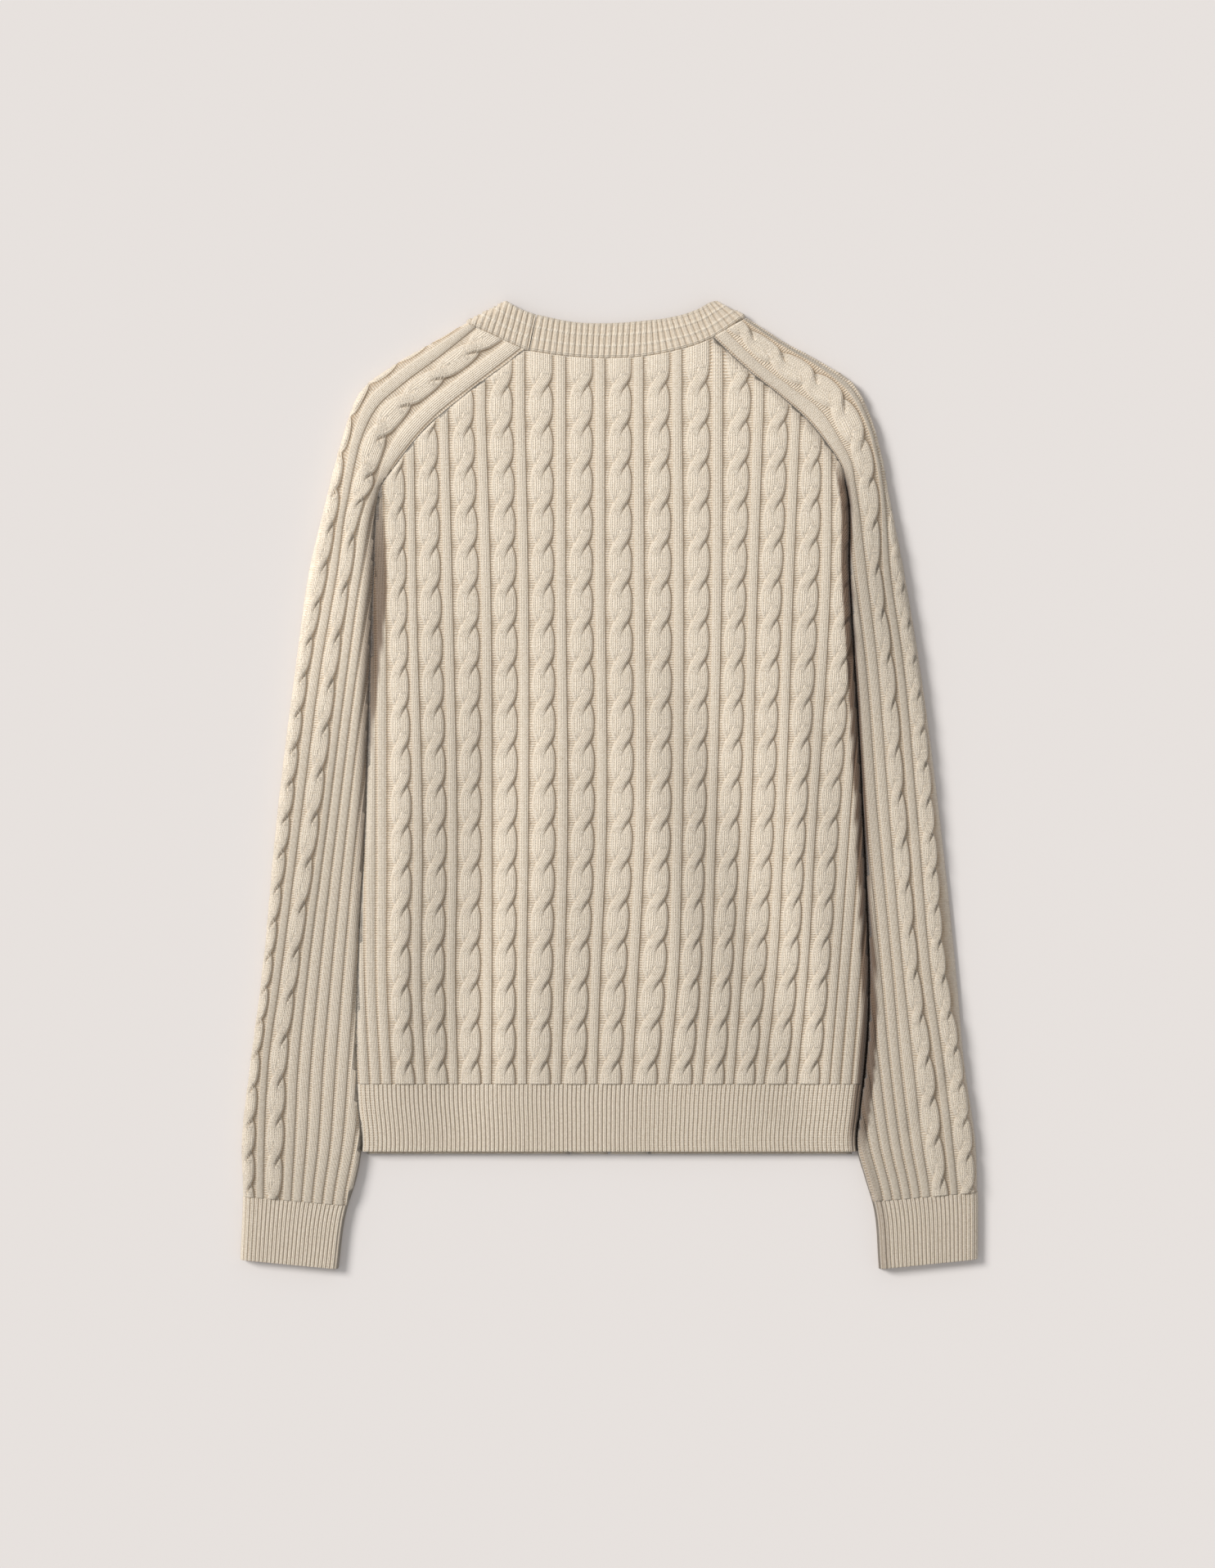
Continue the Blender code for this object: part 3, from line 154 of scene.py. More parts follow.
SIDE_RIGHT = np.array([
    (-389.1, 218.1, 5, 5), (-340.2, 213.5, 5, 5), (-317.1, 206.6, 5, 5), (-293.4, 200.3, 5, 5),
    (-262, 202.6, 5, 5), (-224.7, 207.2, 6, 5), (-158.7, 210.2, 7, 5), (-92.7, 208.2, 6, 5),
    (-26.7, 205.3, 5.5, 5), (39.3, 202, 5.5, 5), (105.3, 198, 5.5, 5), (171.3, 194, 5.5, 5),
    (240.6, 191.5, 5.5, 5), (257.1, 187.6, 5, 5), (276.2, 175, 5, 5), (294.7, 159.6, 5, 5),
    (312.5, 140.2, 5, 5), (331.7, 116, 5, 5), (344.2, 101.6, 5, 5), (360.9, 84.2, 5, 5)])
UNDERARM_LEFT, UNDERARM_RIGHT = (229.4, 238.6), (240.6, 257.1)  # last side row, first raglan row
BODY_SIDES = ((SIDE_LEFT, UNDERARM_LEFT, 1), (SIDE_RIGHT, UNDERARM_RIGHT, -1))

# ---- back: x of the left edge of cables 1 to 13, and of the rib after them ----
CABLE_LEVELS = np.array([-241.2, -158.7, -53.1, 171.3, 303.3])
CABLE_EDGES = np.array([
    (-175.9, -149.5, -123.1, -96, -67.7, -39.9, -10.9, 17.5, 46.5, 74.2, 99.3, 123.8, 150.2, 176.6),
    (-179.8, -152.8, -125.1, -95.4, -67.7, -37.3, -8.2, 22.1, 54.5, 80.9, 105.9, 133.7, 158.7, 183.8),
    (-179.8, -151.5, -123.8, -95.4, -66.3, -34.6, -3.6, 27.4, 57.8, 84.8, 112.5, 139.6, 164.7, 191.7),
    (-181.2, -156.8, -127.7, -96.7, -66.3, -36, -4.3, 27.4, 59.1, 90.1, 119.1, 148.2, 177.9, 204.9),
    (-185.1, -158.7, -131, -100.7, -69, -36, -4.3, 26.7, 57.8, 90.8, 123.8, 153.5, 178.5, 203.6)])
NECKLINE = np.array([
    (-69, 350.8), (-29.4, 345.5), (0.3, 344.5), (30, 346.2), (54.5, 350.8), (71.6, 355.6), (84.2, 360.9)])

# ---- sleeves: one row for each section, from the neck to the cuff's end ----
# outer fold x, y; y of the seam end; how far the lower layer stops short of the seam; grooves 1 to 4
# from the fold; rib pitch past them; turns of the outer cable and of the inner cable
SLEEVE_LEFT = np.array([
    (-117, 373, 350.8, 47, 3.3, 10.6, 35, 51.7, 8.6, -2, -0.5),
    (-148.2, 354.8, 319.8, 12.6, 4, 15.8, 35.6, 51.4, 8.6, -0.9, 0.73),
    (-177.9, 336.9, 293.4, 5.7, 5.9, 19.1, 39.6, 55.9, 8.6, 0.3, 1.84),
    (-200.3, 319.1, 272.2, 3.7, 7.9, 21.1, 44.2, 60.9, 8.6, 1.3, 2.75),
    (-213.5, 288.8, 251.8, 2.5, 8.6, 19.1, 41.6, 52.3, 8.6, 2.35, 3.6),
    (-224.1, 250.5, 238.6, 4.2, 9.9, 17.8, 35.6, 40.1, 8.6, 3.65, 4.45),
    (-229.4, 229.4, 229.4, 4.5, 12.5, 19.1, 33.7, 41.6, 8.6, 4.35, 5.1),
    (-243.2, 171.3, 171.3, 4.5, 16.5, 24.4, 35.6, 43.9, 8.6, 6.3, 6.8),
    (-252.5, 105.3, 105.3, 4.5, 13.2, 22.4, 35.6, 43.6, 7.9, 8.5, 8.5),
    (-268.9, -26.7, -26.7, 4.5, 13.2, 21.1, 36.3, 42.6, 8.1, 13.1, 12.15),
    (-281.5, -158.7, -158.7, 4.5, 9.2, 16.5, 30.4, 38.3, 9.6, 17.85, 15.8),
    (-290.1, -224.7, -224.7, 4.5, 9.2, 15.8, 31, 40.3, 10.1, 20.35, 17.7),
    (-297.3, -290.7, -290.7, 4.5, 12.5, 19.8, 35.6, 44.2, 9.6, 22.8, 19.75),
    (-296, -332.3, -339.9, 4.5, 10.6, 17.8, 32.3, 40.3, 8.4, 24.4, 21.1),
    (-298, -383.5, -391.1, 4.5, 10.6, 17.8, 32.3, 40.3, 8.4, 26.3, 22.7)])
SLEEVE_RIGHT = np.array([
    (112.4, 377.3, 360.9, 25.4, 2, 4.6, 19.8, 32, 7.9, -2, -0.35),
    (143.6, 357.4, 331.7, 3, 2, 5.3, 26.4, 37.3, 7.9, -0.9, 0.9),
    (173.9, 340.9, 312.5, 3.1, 2.6, 6.6, 31.7, 44, 7.9, 0.3, 1.95),
    (199, 323.1, 294.7, 2.7, 4, 9.2, 33.7, 48.2, 7.9, 1.3, 2.9),
    (212.2, 296.7, 276.2, 1.3, 3.3, 7.3, 30.4, 42.2, 7.9, 2.3, 3.65),
    (221.4, 263.7, 257.1, 4.2, 3.3, 7.3, 25.1, 34.3, 7.9, 3.5, 4.6),
    (225.4, 240.6, 240.6, 4.5, 4, 7.9, 25.7, 34.3, 7.9, 4.3, 5.25),
    (238.9, 171.3, 171.3, 4.5, 11.6, 18.5, 30.4, 40.3, 7.9, 6.7, 7.2),
    (250.1, 105.3, 105.3, 4.5, 13.2, 20.5, 33.7, 43.2, 8.2, 9, 9.05),
    (267.6, -26.7, -26.7, 4.5, 18.2, 26.7, 40.6, 50.2, 8.9, 13.6, 12.6),
    (281.5, -158.7, -158.7, 4.5, 20.5, 29.4, 42.9, 51.5, 9.2, 18.2, 16.3),
    (287.4, -224.7, -224.7, 4.5, 17.2, 25.1, 41.2, 51.8, 8.7, 20.5, 18.2),
    (296.7, -290.7, -290.7, 4.5, 18.8, 26.4, 43.2, 52.8, 8.4, 22.8, 20.25),
    (298, -329, -336.6, 4.5, 16.5, 23.4, 38.6, 46.9, 7.5, 24.2, 21.45),
    (298, -383, -391.1, 4.5, 16.5, 23.4, 38.6, 46.9, 7.5, 26.1, 23)])
CAP_ROWS, CUFF_ROW = 5, 13  # rows 0 to 5 end at the raglan seam, and row 13 is the cuff's seam

# ---- neckband: rows across it, from the join behind the wearer's left shoulder ----
# x, y and face (1 on top, -1 beneath) of the seam end, then of the free end
BAND_RIGHT = np.array([
    (-64.4, 350.7, 1, -58.4, 379.8, 1), (-29.4, 346.2, 1, -27.4, 373.9, 1), (0.3, 345, 1, 2.3, 373.2, 1),
    (30, 346.7, 1, 30, 375.2, 1), (54.5, 351.4, 1, 47.2, 377.2, 1), (71.6, 356.4, 1, 61.7, 380.5, 1),
    (84.2, 361.9, 1, 73.6, 385.1, 1), (96, 369.2, 1, 80.2, 389.1, 1), (104.2, 375.1, 1, 85.5, 391.3, -1),
    (109.8, 379.3, -1, 86.1, 383.8, -1), (103, 375, -1, 86.4, 375.2, -1),
    (105, 342.9, -1, 80.2, 349.5, -1), (95.4, 300, -1, 68.3, 309.9, -1),
    (73.6, 248.5, -1, 46.5, 263.7, -1), (44.6, 203, -1, 20.1, 220.8, -1), (31, 168, -1, 3, 187.8, -1),
    (30.7, 148.2, -1, 1, 158.1, -1), (30.7, FRONT_HEM_END, -1, 1, FRONT_HEM_END, -1)])
BAND_LEFT = np.array([
    (-65, 350.9, 1, -59, 379.8, 1), (-78.9, 356.7, 1, -71.6, 384.5, 1), (-92.1, 363, 1, -83.5, 391.3, 1),
    (-102, 367.7, 1, -84, 381.8, -1), (-108.6, 371, 1, -83.9, 374.8, -1),
    (-115.2, 374.9, 1, -83.8, 367.6, -1), (-108.4, 368.6, -1, -83.4, 355.5, -1),
    (-106, 342.9, -1, -80.9, 342.2, -1), (-96, 300, -1, -69, 309.9, -1),
    (-73.6, 248.5, -1, -46.5, 263.7, -1), (-44.6, 203, -1, -20.1, 220.8, -1),
    (-31, 168, -1, -3, 187.8, -1), (-30.7, 148.2, -1, -1, 158.1, -1),
    (-30.7, FRONT_HEM_END, -1, -1, FRONT_HEM_END, -1)])
FOLD_RIGHT = ((85.5, 391.3), (111.2, 378.6))  # the shoulder fold: free edge, seam edge
FOLD_LEFT = ((-83.5, 391.3), (-115.2, 374.9))
BAND_FRONT_RIGHT, BAND_FRONT_LEFT = 11, 7  # first row wholly on the front

# ---- soft folds of the upper layer: a ridge (height > 0) or a trough along a line ----
# x and y of its ends, half width, height
FOLDS = np.array([
    (-127, -20, -129, -215, 21, -1.5),  # beside the second cable
    (93, -50, 88, -235, 26, -1.6),  # through cables nine to eleven
    (-82, 20, -84, -220, 16, 1.3),
    (36, 10, 32, -230, 22, 1.1),
    (150, 60, 146, -225, 18, 1.2),
    (-170, 20, -176, -230, 12, 0.8),
    (-60, 250, -40, 90, 40, 0.5),
    (80, 240, 60, 120, 30, -0.5),
    (-228, 150, -262, -260, 22, 1),  # along each sleeve
    (232, 150, 262, -260, 22, 1),
    (-205, 285, -232, 170, 24, 1.4),  # upper arms
    (198, 295, 226, 170, 22, 1.4),
    (-292, -215, -246, -262, 9, -1.3),  # creases above the cuffs
    (280, -230, 240, -285, 9, -1.3),
    (-250, -60, -212, -95, 8, -0.9),
    (256, -20, 226, -70, 8, -0.9)])
NECK_SAG = (0, 385, 58, 45, -3.4)  # x, y, half width, half height and depth of the back neck's dip


# ---- curves and fields ----
def curve(knots, values, at):
    """Smooth curve through the rows of a table, read at one place or at many."""
    values = np.asarray(values, float)
    slopes = np.gradient(values, knots, axis=0)
    at = np.clip(at, knots[0], knots[-1])
    i = np.clip(np.searchsorted(knots, at, side="right") - 1, 0, len(knots) - 2)
    step = knots[i + 1] - knots[i]
    f = (at - knots[i]) / step
    if values.ndim == 2 and np.ndim(at):
        f, step = f[:, None], step[:, None]
    near = (1 + 2 * f) * (1 - f) ** 2 * values[i] + f * (1 - f) ** 2 * step * slopes[i]
    return near + f * f * (3 - 2 * f) * values[i + 1] - f * f * (1 - f) * step * slopes[i + 1]


def smooth(x):
    """0 below 0, 1 above 1 and a soft step between."""
    x = np.clip(x, 0.0, 1.0)
    return x * x * (3 - 2 * x)


def dome(distance, radius):
    """Quarter circle: 0 at an edge, 1 one radius inside it."""
    return np.sqrt(1 - (1 - np.clip(distance / radius, 0.0, 1.0)) ** 2)


def row_places(starts, ends):
    """How far along each row of a table lies, by the middles between its two ends."""
    steps = np.hypot(*np.diff(0.5 * (starts + ends), axis=0).T)
    return np.concatenate(([0.0], np.cumsum(steps)))


def fold_radius(middle):
    """Radius of a fold whose middle is so high."""
    return np.minimum(FOLD_RADIUS, middle ** 2 / FOLD_TIGHT)


def top_height(x, y):
    """Height of the upper layer's plain outer face."""
    loft = np.zeros(np.broadcast(x, y).shape)
    for x0, y0, x1, y1, half, height in FOLDS:
        along = np.array((x1 - x0, y1 - y0))
        length = np.hypot(*along)
        along /= length
        s = ((x - x0) * along[0] + (y - y0) * along[1]) / length
        across = (x - x0) * along[1] - (y - y0) * along[0]
        ends = smooth((s + LOFT_FADE) / (2 * LOFT_FADE)) * smooth((1 + LOFT_FADE - s) / (2 * LOFT_FADE))
        loft = loft + height * ends * np.exp(-(across / half) ** 2)
    loft = LOFT_MID + LOFT_REACH * np.tanh(loft / LOFT_REACH)
    sag_x, sag_y, half_x, half_y, depth = NECK_SAG
    sag = depth * np.exp(-((x - sag_x) / half_x) ** 2 - (np.minimum(y - sag_y, 0) / half_y) ** 2)
    return UNDER + LAYER_GAP + WALL + loft + sag


def side_x(table, y):
    """x of the line where the body meets a sleeve."""
    return curve(table[:, 0], table[:, 1], y)


# ---- body ----
def row_lift(x, v):
    """How far row v's point at x lies above the level v."""
    slope = SLOPE * (x - SLOPE_ZERO) * smooth((v - HEM_TOP) / SLOPE_FADE)
    neck = curve(NECKLINE[:, 0], NECKLINE[:, 1], x) - NECKLINE[0, 1]
    return slope + smooth((v - NECK_BEND) / (NECKLINE[0, 1] - NECK_BEND)) * (neck - slope)


def row_end(table, v, inward):
    """x at which row v meets the sleeve."""
    y = v
    for _ in range(12):  # settles to well under a micrometre
        x = side_x(table, y) + inward * (GAP + SIDE_CLEAR * smooth((CLEAR_TOP - y) / CLEAR_FADE))
        y = v + row_lift(x, v)
    return x


def row_ends(v):
    """x at which row v meets the left sleeve and the right sleeve."""
    return row_end(SIDE_LEFT, v, 1), row_end(SIDE_RIGHT, v, -1)


def side_low(z, v, underarm):
    """Height at which the side turns straight down: the full height at the underarm, low below it."""
    return z + (SIDE_LOW - z) * smooth((underarm[1] - v) / SIDE_FALL)


def body(v, across):
    """Base surface of the back and its hem. across is x, and runs on down the sides past the ends."""
    left, right = row_ends(v)
    x = np.clip(across, left, right)
    y = v + row_lift(x, v)
    z = top_height(x, y)
    for (table, underarm, inward), end in zip(BODY_SIDES, (left, right)):
        if v < underarm[1]:
            radius = curve(table[:, 0], table[:, 2], v)
            low = side_low(z, v, underarm)
            z = low + (z - low) * dome((x - end) * inward, radius)
    z = z - np.maximum(left - across, 0) - np.maximum(across - right, 0)
    return np.stack((x, y, np.maximum(z, 0.0)), axis=-1)


def body_ends(v):
    """First and last value of across on row v: on the table below the underarm, at the seam above."""
    ends = []
    for table, underarm, inward in BODY_SIDES:
        x = row_end(table, v, inward)
        if v < underarm[1] - 0.1:
            x -= inward * float(side_low(top_height(x, v + row_lift(x, v)), v, underarm))
        ends.append(float(x))
    return ends


# ---- sleeves and cuffs ----
class Sleeve:
    """One sleeve: t runs along it from the neck, d runs across from the outer fold."""

    def __init__(self, sections, side, underarm, sign):
        self.sections, self.side, self.underarm, self.sign = sections, side, underarm, sign
        seam = np.stack((side_x(side, sections[:, 2]), sections[:, 2]), axis=1)
        self.rows = row_places(sections[:, :2], seam)

    def section(self, t):
        """Outer point, unit vector across, width, width of the lower layer, half the height, table row."""
        t = float(np.clip(t, 0, self.rows[-1]))
        row = curve(self.rows, self.sections, t)
        outer = row[:2]
        seam = np.array((side_x(self.side, row[2]) + self.sign * GAP, row[2]))
        width = np.hypot(*(seam - outer))
        short = np.interp(t, self.rows, self.sections[:, 3])
        short += UNDER_RETREAT * (curve(self.side[:, 0], self.side[:, 3], row[2]) - ROUNDING)
        middle = 0.5 * float(top_height(*outer))
        return outer, (seam - outer) / width, width, width - short, middle, row

    def surface(self, t, d):
        """Base surface: d < 0 goes round the fold and along the table, d > width down the inner side."""
        outer, along, width, _, middle, row = self.section(t)
        radius = fold_radius(middle)
        wrap = FOLD_WRAP * radius  # path from the fold's outermost line down to the table
        angle = np.clip(-d / wrap, 0, 1) * np.pi / 2
        below = radius * (1 - np.cos(angle)) + np.maximum(-d - wrap, 0)
        plan = np.where(d < 0, below, np.minimum(d, width))
        x, y = outer[0] + along[0] * plan, outer[1] + along[1] * plan
        z = top_height(x, y)
        z = middle + (z - middle) * dome(plan, radius)
        if row[2] < self.underarm[1]:
            inner = curve(self.side[:, 0], self.side[:, 3], row[2])
            low = side_low(z, row[2], self.underarm)
            z = low + (z - low) * dome(width - plan, inner)
        z = np.where(d < 0, middle * (1 - np.sin(angle)), z - np.maximum(d - width, 0))
        return np.stack((x, y, np.maximum(z, 0.0)), axis=-1)

    def ends(self, t):
        """First and last d of row t."""
        _, _, width, under, middle, row = self.section(t)
        last = width
        if row[2] < self.underarm[1] - 0.1:
            last = width + float(self.surface(t, np.array([width]))[0, 2])
        radius = fold_radius(middle)
        return -(FOLD_WRAP * radius + max(under - radius, 0.5)), last

    def grooves(self, t):
        """d of the fold and of every groove past it."""
        row = self.section(t)[5]
        return np.concatenate(([0.0], row[4:8], row[7] + row[8] * np.arange(1, 14)))

    def turns(self, t):
        """Turns of the outer and of the inner cable."""
        return self.section(t)[5][9:11]

    def under_edge(self, t, past):
        """Plan point on the lower layer's free edge, moved on by past."""
        outer, along, _, under, _, _ = self.section(t)
        return outer + along * (under + past)


# ---- neckband ----
class Band:
    """Half of the ribbed band: u runs along it from the join, v from the seam to the free edge."""

    def __init__(self, rows, fold):
        self.a, b = np.array(fold[0]), np.array(fold[1])
        along = (b - self.a) / np.hypot(*(b - self.a))
        self.inward = np.array((along[1], -along[0]))
        if self.inward[1] > 0:
            self.inward = -self.inward
        flat = [np.concatenate((self.unfold(r[0:2], r[2]), self.unfold(r[3:5], r[5]))) for r in rows]
        self.flat = np.array(flat)
        self.rows = row_places(self.flat[:, :2], self.flat[:, 2:])

    def depth(self, points):
        """Distance from the fold line, above 0 on the top side."""
        return (points - self.a) @ self.inward

    def unfold(self, point, face):
        """The point as it lies before the band is folded under."""
        if face > 0:
            return np.array(point)
        return point - 2 * self.depth(point) * self.inward

    def surface(self, u, v):
        """Base surface."""
        row = curve(self.rows, self.flat, np.clip(float(u), 0, self.rows[-1]))
        flat = row[:2] + (row[2:] - row[:2]) * np.asarray(v)[:, None]
        depth = self.depth(flat)
        plan = flat - 2 * np.minimum(depth, 0)[:, None] * self.inward
        top = top_height(plan[:, 0], plan[:, 1])
        middle = 0.5 * top
        round_off = dome(np.abs(depth), fold_radius(middle))
        z = np.where(depth > 0, middle + (top - middle) * round_off, middle * (1 - round_off))
        return np.column_stack((plan, z))

    def seam_edge(self, u, past):
        """Plan point past the seam edge of row u."""
        ends = self.surface(u, np.array([0.0, 1.0]))[:, :2]
        out = (ends[0] - ends[1]) / np.hypot(*(ends[0] - ends[1]))
        return ends[0] + out * past


# ---- offsets from a base surface ----
def normals(surface, t, d, t_step, d_step, climb, sign):
    """Outward unit normals along row t; with climb 0 none of them leans over a neighbouring row."""
    across = surface(t, d + d_step) - surface(t, d - d_step)
    along = surface(t + t_step, d) - surface(t - t_step, d)
    along[:, 2] *= climb
    n = np.cross(across, along) * sign
    return n / np.linalg.norm(n, axis=1)[:, None]


def above_table(points):
    """The points, none of them below the table."""
    points[:, 2] = np.maximum(points[:, 2], 0.0)
    return points


def wall_of(normal):
    """Wall thickness: the lower layer is thicker, because its ribs are pressed flat."""
    return WALL + (UNDER - WALL) * smooth((-normal[:, 2] - 0.7) / 0.3)


def raised(surface, t, d, heights, steps, sign):
    """Points of an outer row: the base surface raised along its normals, less where it nears the table."""
    base, n = surface(t, d), normals(surface, t, d, *steps, sign)
    points = base + n * (heights * smooth(base[:, 2] / RELIEF_FROM - 0.3))[:, None]
    return above_table(points)


def sunk(surface, t, d, steps, sign, corners=()):
    """Points of the plain inner row; corners are (number in the row, inward) of upright sides."""
    base, n = surface(t, d), normals(surface, t, d, *steps, sign)
    points = base - n * wall_of(n)[:, None]
    for i, inward in corners:
        points[i] = surface(t, d[i:i + 1] + inward * WALL)[0] - (0, 0, WALL)
    return above_table(points)


# ---- knitted relief ----
def plateau(t, power=3.6, steep=STEEP):
    """Height across a raised band: 0 at its edges t = 0 and 1, and nearly 1 over its middle."""
    return (1 - np.abs(2 * np.clip(t, 0.0, 1.0) - 1) ** power) ** steep


def front_edge(q):
    """Right edge of the front strand, q pitches below the notch, in half widths of the cable."""
    return np.interp(q, *FRONT_EDGE.T)


def cable_edge(q):
    """Right edge of the whole cable."""
    return front_edge(q) if q < 0 else np.interp(q, *BACK_EDGE.T)


def cable(f, q):
    """Relief of a cable, f from its left edge 0 to its right edge 1, q pitches below its nearest crossing.

    Gives s, the places in half widths of the cable, the height, the wales counted on the front strand and
    on the one beneath it, where the front strand is on top, and how much painted shade each column gets in
    its creases."""
    right, left = cable_edge(q), -cable_edge(-q)
    strand_right, strand_left = front_edge(q), -front_edge(-q)
    s = left + (right - left) * f
    for edge in (strand_left, strand_right):  # a column on each edge of the front strand
        nearest = 1 + np.argmin(abs(s[1:-1] - edge))
        if abs(s[nearest] - edge) < 0.09:
            s[nearest] = edge
    t = (s - left) / (right - left)
    height = CABLE_HEIGHT * plateau(t, np.where(t < 0.5, SOFT_POWER, CABLE_POWER))
    across = (s - strand_left) / max(strand_right - strand_left, 0.2)
    inside = (across > 0) & (across < 1)
    lift = smooth(across / 0.6) * np.clip((1 - across) / 0.08, 0, 1) ** 0.5
    height = height + CROSS_LIFT * np.exp(-((q - 0.03) / CROSS_SPREAD) ** 2) * np.where(inside, lift, 0)
    # painted shade: full on the cable's right edge, which faces away from the light, and some beside the
    # front strand where it crosses
    crease = np.where(CABLE_SHARES > 0.97, 1.0, 0.0)
    for side, edge, down, depth in ((1, strand_right, q, VALLEY), (-1, strand_left, -q, LEFT_VALLEY)):
        strength = smooth((down + 0.06) / 0.1) * smooth((VALLEY_END - down) / 0.25)
        off = (s - edge) * side
        height = height * (1 - depth * strength * np.exp(-(off / np.where(off > 0, 0.2, 0.06)) ** 2))
        crease = np.maximum(crease, depth * strength * np.exp(-(off / 0.08) ** 2))
    beneath = right - 1 if q > 0 else left
    return s, height, WALES * across, WALES * (s - beneath), inside | (across == 1), crease


class Knit:
    """Columns of one row: key, place across, height, the wales on top and beneath, which strand is on top
    (1 the front one, 0 the other, 2 in ribs), and how much there is of purl, of painted shade in creases and
    of painted shade in the groove beside the sleeves.

    Keys match the columns of neighbouring rows. They rise across a row: below 0 on the first side or the
    lower layer, 0 to 30 over the knit, whole numbers at its grooves, and from 38 on the far side."""
    FIELDS = ("keys", "d", "height", "wale", "beneath", "on_front", "purl", "crease", "groove")

    def __init__(self, keys, d, height, wale, beneath=None, on_front=1, purl=0, crease=0, groove=0):
        given = (keys, d, height, wale, wale if beneath is None else beneath, on_front, purl, crease, groove)
        for name, values in zip(self.FIELDS, given):
            setattr(self, name, np.zeros(len(d)) + values)

    def fields(self):
        """The columns' values, field by field."""
        return [getattr(self, name) for name in self.FIELDS]

    def pick(self, mask):
        """Some of the columns."""
        return Knit(*[x[mask] for x in self.fields()])

    @staticmethod
    def join(parts):
        """The columns of several, one after the other."""
        return Knit(*[np.concatenate(x) for x in zip(*[p.fields() for p in parts])])


def plain(keys, d):
    """Columns with no relief, such as those down a side or along the table."""
    return Knit(keys, d, 0, np.array(d) / 3)


def rib_columns(keys, d, f, height, wales=3, start=0.0, stop=1.0, crease_shade_share=1.0):
    """Columns of a rib, f from 0 to 1 across its share, purl outside start to stop."""
    t = (f - start) / (stop - start)
    inside = (t > 0) & (t < 1)
    # painted shade on a rib's edges: full on its right edge, less on its left, as the light comes from the
    # left
    crease = np.where(abs(t) < 1e-6, LEFT_CREASE_SHADE, np.where(abs(t - 1) < 1e-6, 1.0, 0.0))
    relief = np.where(inside, height * plateau(t, RIB_POWER), 0.0)
    return Knit(keys, d, relief, wales * t, on_front=2, purl=~inside, crease=crease * crease_shade_share)


def fine_ribs(count, first, last, key=0, height=FINE_RIB_HEIGHT, crease_shade_share=FINE_CREASE_SHADE):
    """Columns of count fine ribs from place first to last, from a key on."""
    ribs = (np.arange(count)[:, None] + FINE_SHARES).ravel()
    d = first + (last - first) * ribs / count
    return rib_columns(key + 20.0 * ribs / count, d, ribs % 1.0, height, 1, *FINE_RIB_SHARE, crease_shade_share)


def ribbed_rows(low, high):
    """Rows of a ribbed strip, closest at its ends."""
    return np.concatenate(([low, low + 0.5], np.linspace(low + 1.5, high - 1.5, 18), [high - 0.5, high]))


def cable_columns(keys, middle, half, q, mirrored=False):
    """Columns of a cable about its middle, half as wide as given."""
    turn = -1 if mirrored else 1
    s, height, wale, beneath, on_front, crease = (x[::turn] for x in cable(CABLE_SHARES, q))
    return Knit(keys, middle + turn * half * s, height, wale, beneath, on_front, height < 0.01, crease)


def purl_column(key, d):
    """One column in the middle of a stretch of purl."""
    return Knit([key], [d], 0, 0.5, purl=1)


# ---- shells ----
def zip_rows(faces, a, b, keys_a, keys_b):
    """Faces between two rows of vertices, matched by their keys; the row that lags moves first."""
    i = j = 0
    last_a, last_b = len(a) - 1, len(b) - 1
    while i < last_a or j < last_b:
        next_a = keys_a[i + 1] if i < last_a else np.inf
        next_b = keys_b[j + 1] if j < last_b else np.inf
        level = abs(next_a - next_b) < 1e-6
        if level and abs(keys_a[i] - keys_b[j]) < 1e-6:
            faces.append((a[i], b[j], b[j + 1], a[i + 1]))
            i, j = i + 1, j + 1
        elif (level and keys_b[j] < keys_a[i]) or (not level and next_b < next_a):
            faces.append((a[i], b[j], b[j + 1]))
            j += 1
        else:
            faces.append((a[i], b[j], a[i + 1]))
            i += 1


def shell(name, outer, inner, material):
    """Closed shell from outer and inner rows {t: (knit, points)}; it stands for the CAD node of its name."""
    faces, groups, points, knits, courses = [], [], [], [], []
    count = 0
    for rows in (outer, inner):
        group = []
        for t in sorted(rows):
            knit, row = rows[t]
            group.append((t, knit.keys.tolist(), range(count, count + len(row))))
            count += len(row)
            points.append(row)
            knits.append(knit)
            courses.append(np.full(len(row), t / COURSE))
        groups.append(group)
        for low, high in zip(group, group[1:]):
            zip_rows(faces, low[2], high[2], low[1], high[1])
    for k in (0, -1):
        (_, keys_o, row_o), (_, keys_i, row_i) = groups[0][k], groups[1][k]
        zip_rows(faces, row_o, row_i, keys_o, keys_i)
        edges = [[row[2][k] for row in group] for group in groups]
        zip_rows(faces, *edges, *[[row[0] for row in group] for group in groups])
    mesh = bpy.data.meshes.new(name + "_knit")
    mesh.from_pydata(np.concatenate(points) * MM, [], faces)
    finish_mesh(mesh)
    add_stitches(mesh, Knit.join(knits), np.concatenate(courses))
    add_tone_and_shade(mesh, np.concatenate(points), BAND_TONE if name.startswith("band") else 1.0)
    mesh.materials.append(material)
    obj = place(name + "_knit", mesh)
    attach(obj, "root")
    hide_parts(name)
    return obj


def place(name, data):
    """New object in the scene."""
    obj = bpy.data.objects.new(name, data)
    bpy.context.scene.collection.objects.link(obj)
    return obj


def finish_mesh(mesh):
    """Turns the faces out, and makes them smooth."""
    bm = bmesh.new()
    bm.from_mesh(mesh)
    bmesh.ops.recalc_face_normals(bm, faces=bm.faces)
    for face in bm.faces:
        face.smooth = True
    bm.to_mesh(mesh)
    bm.free()


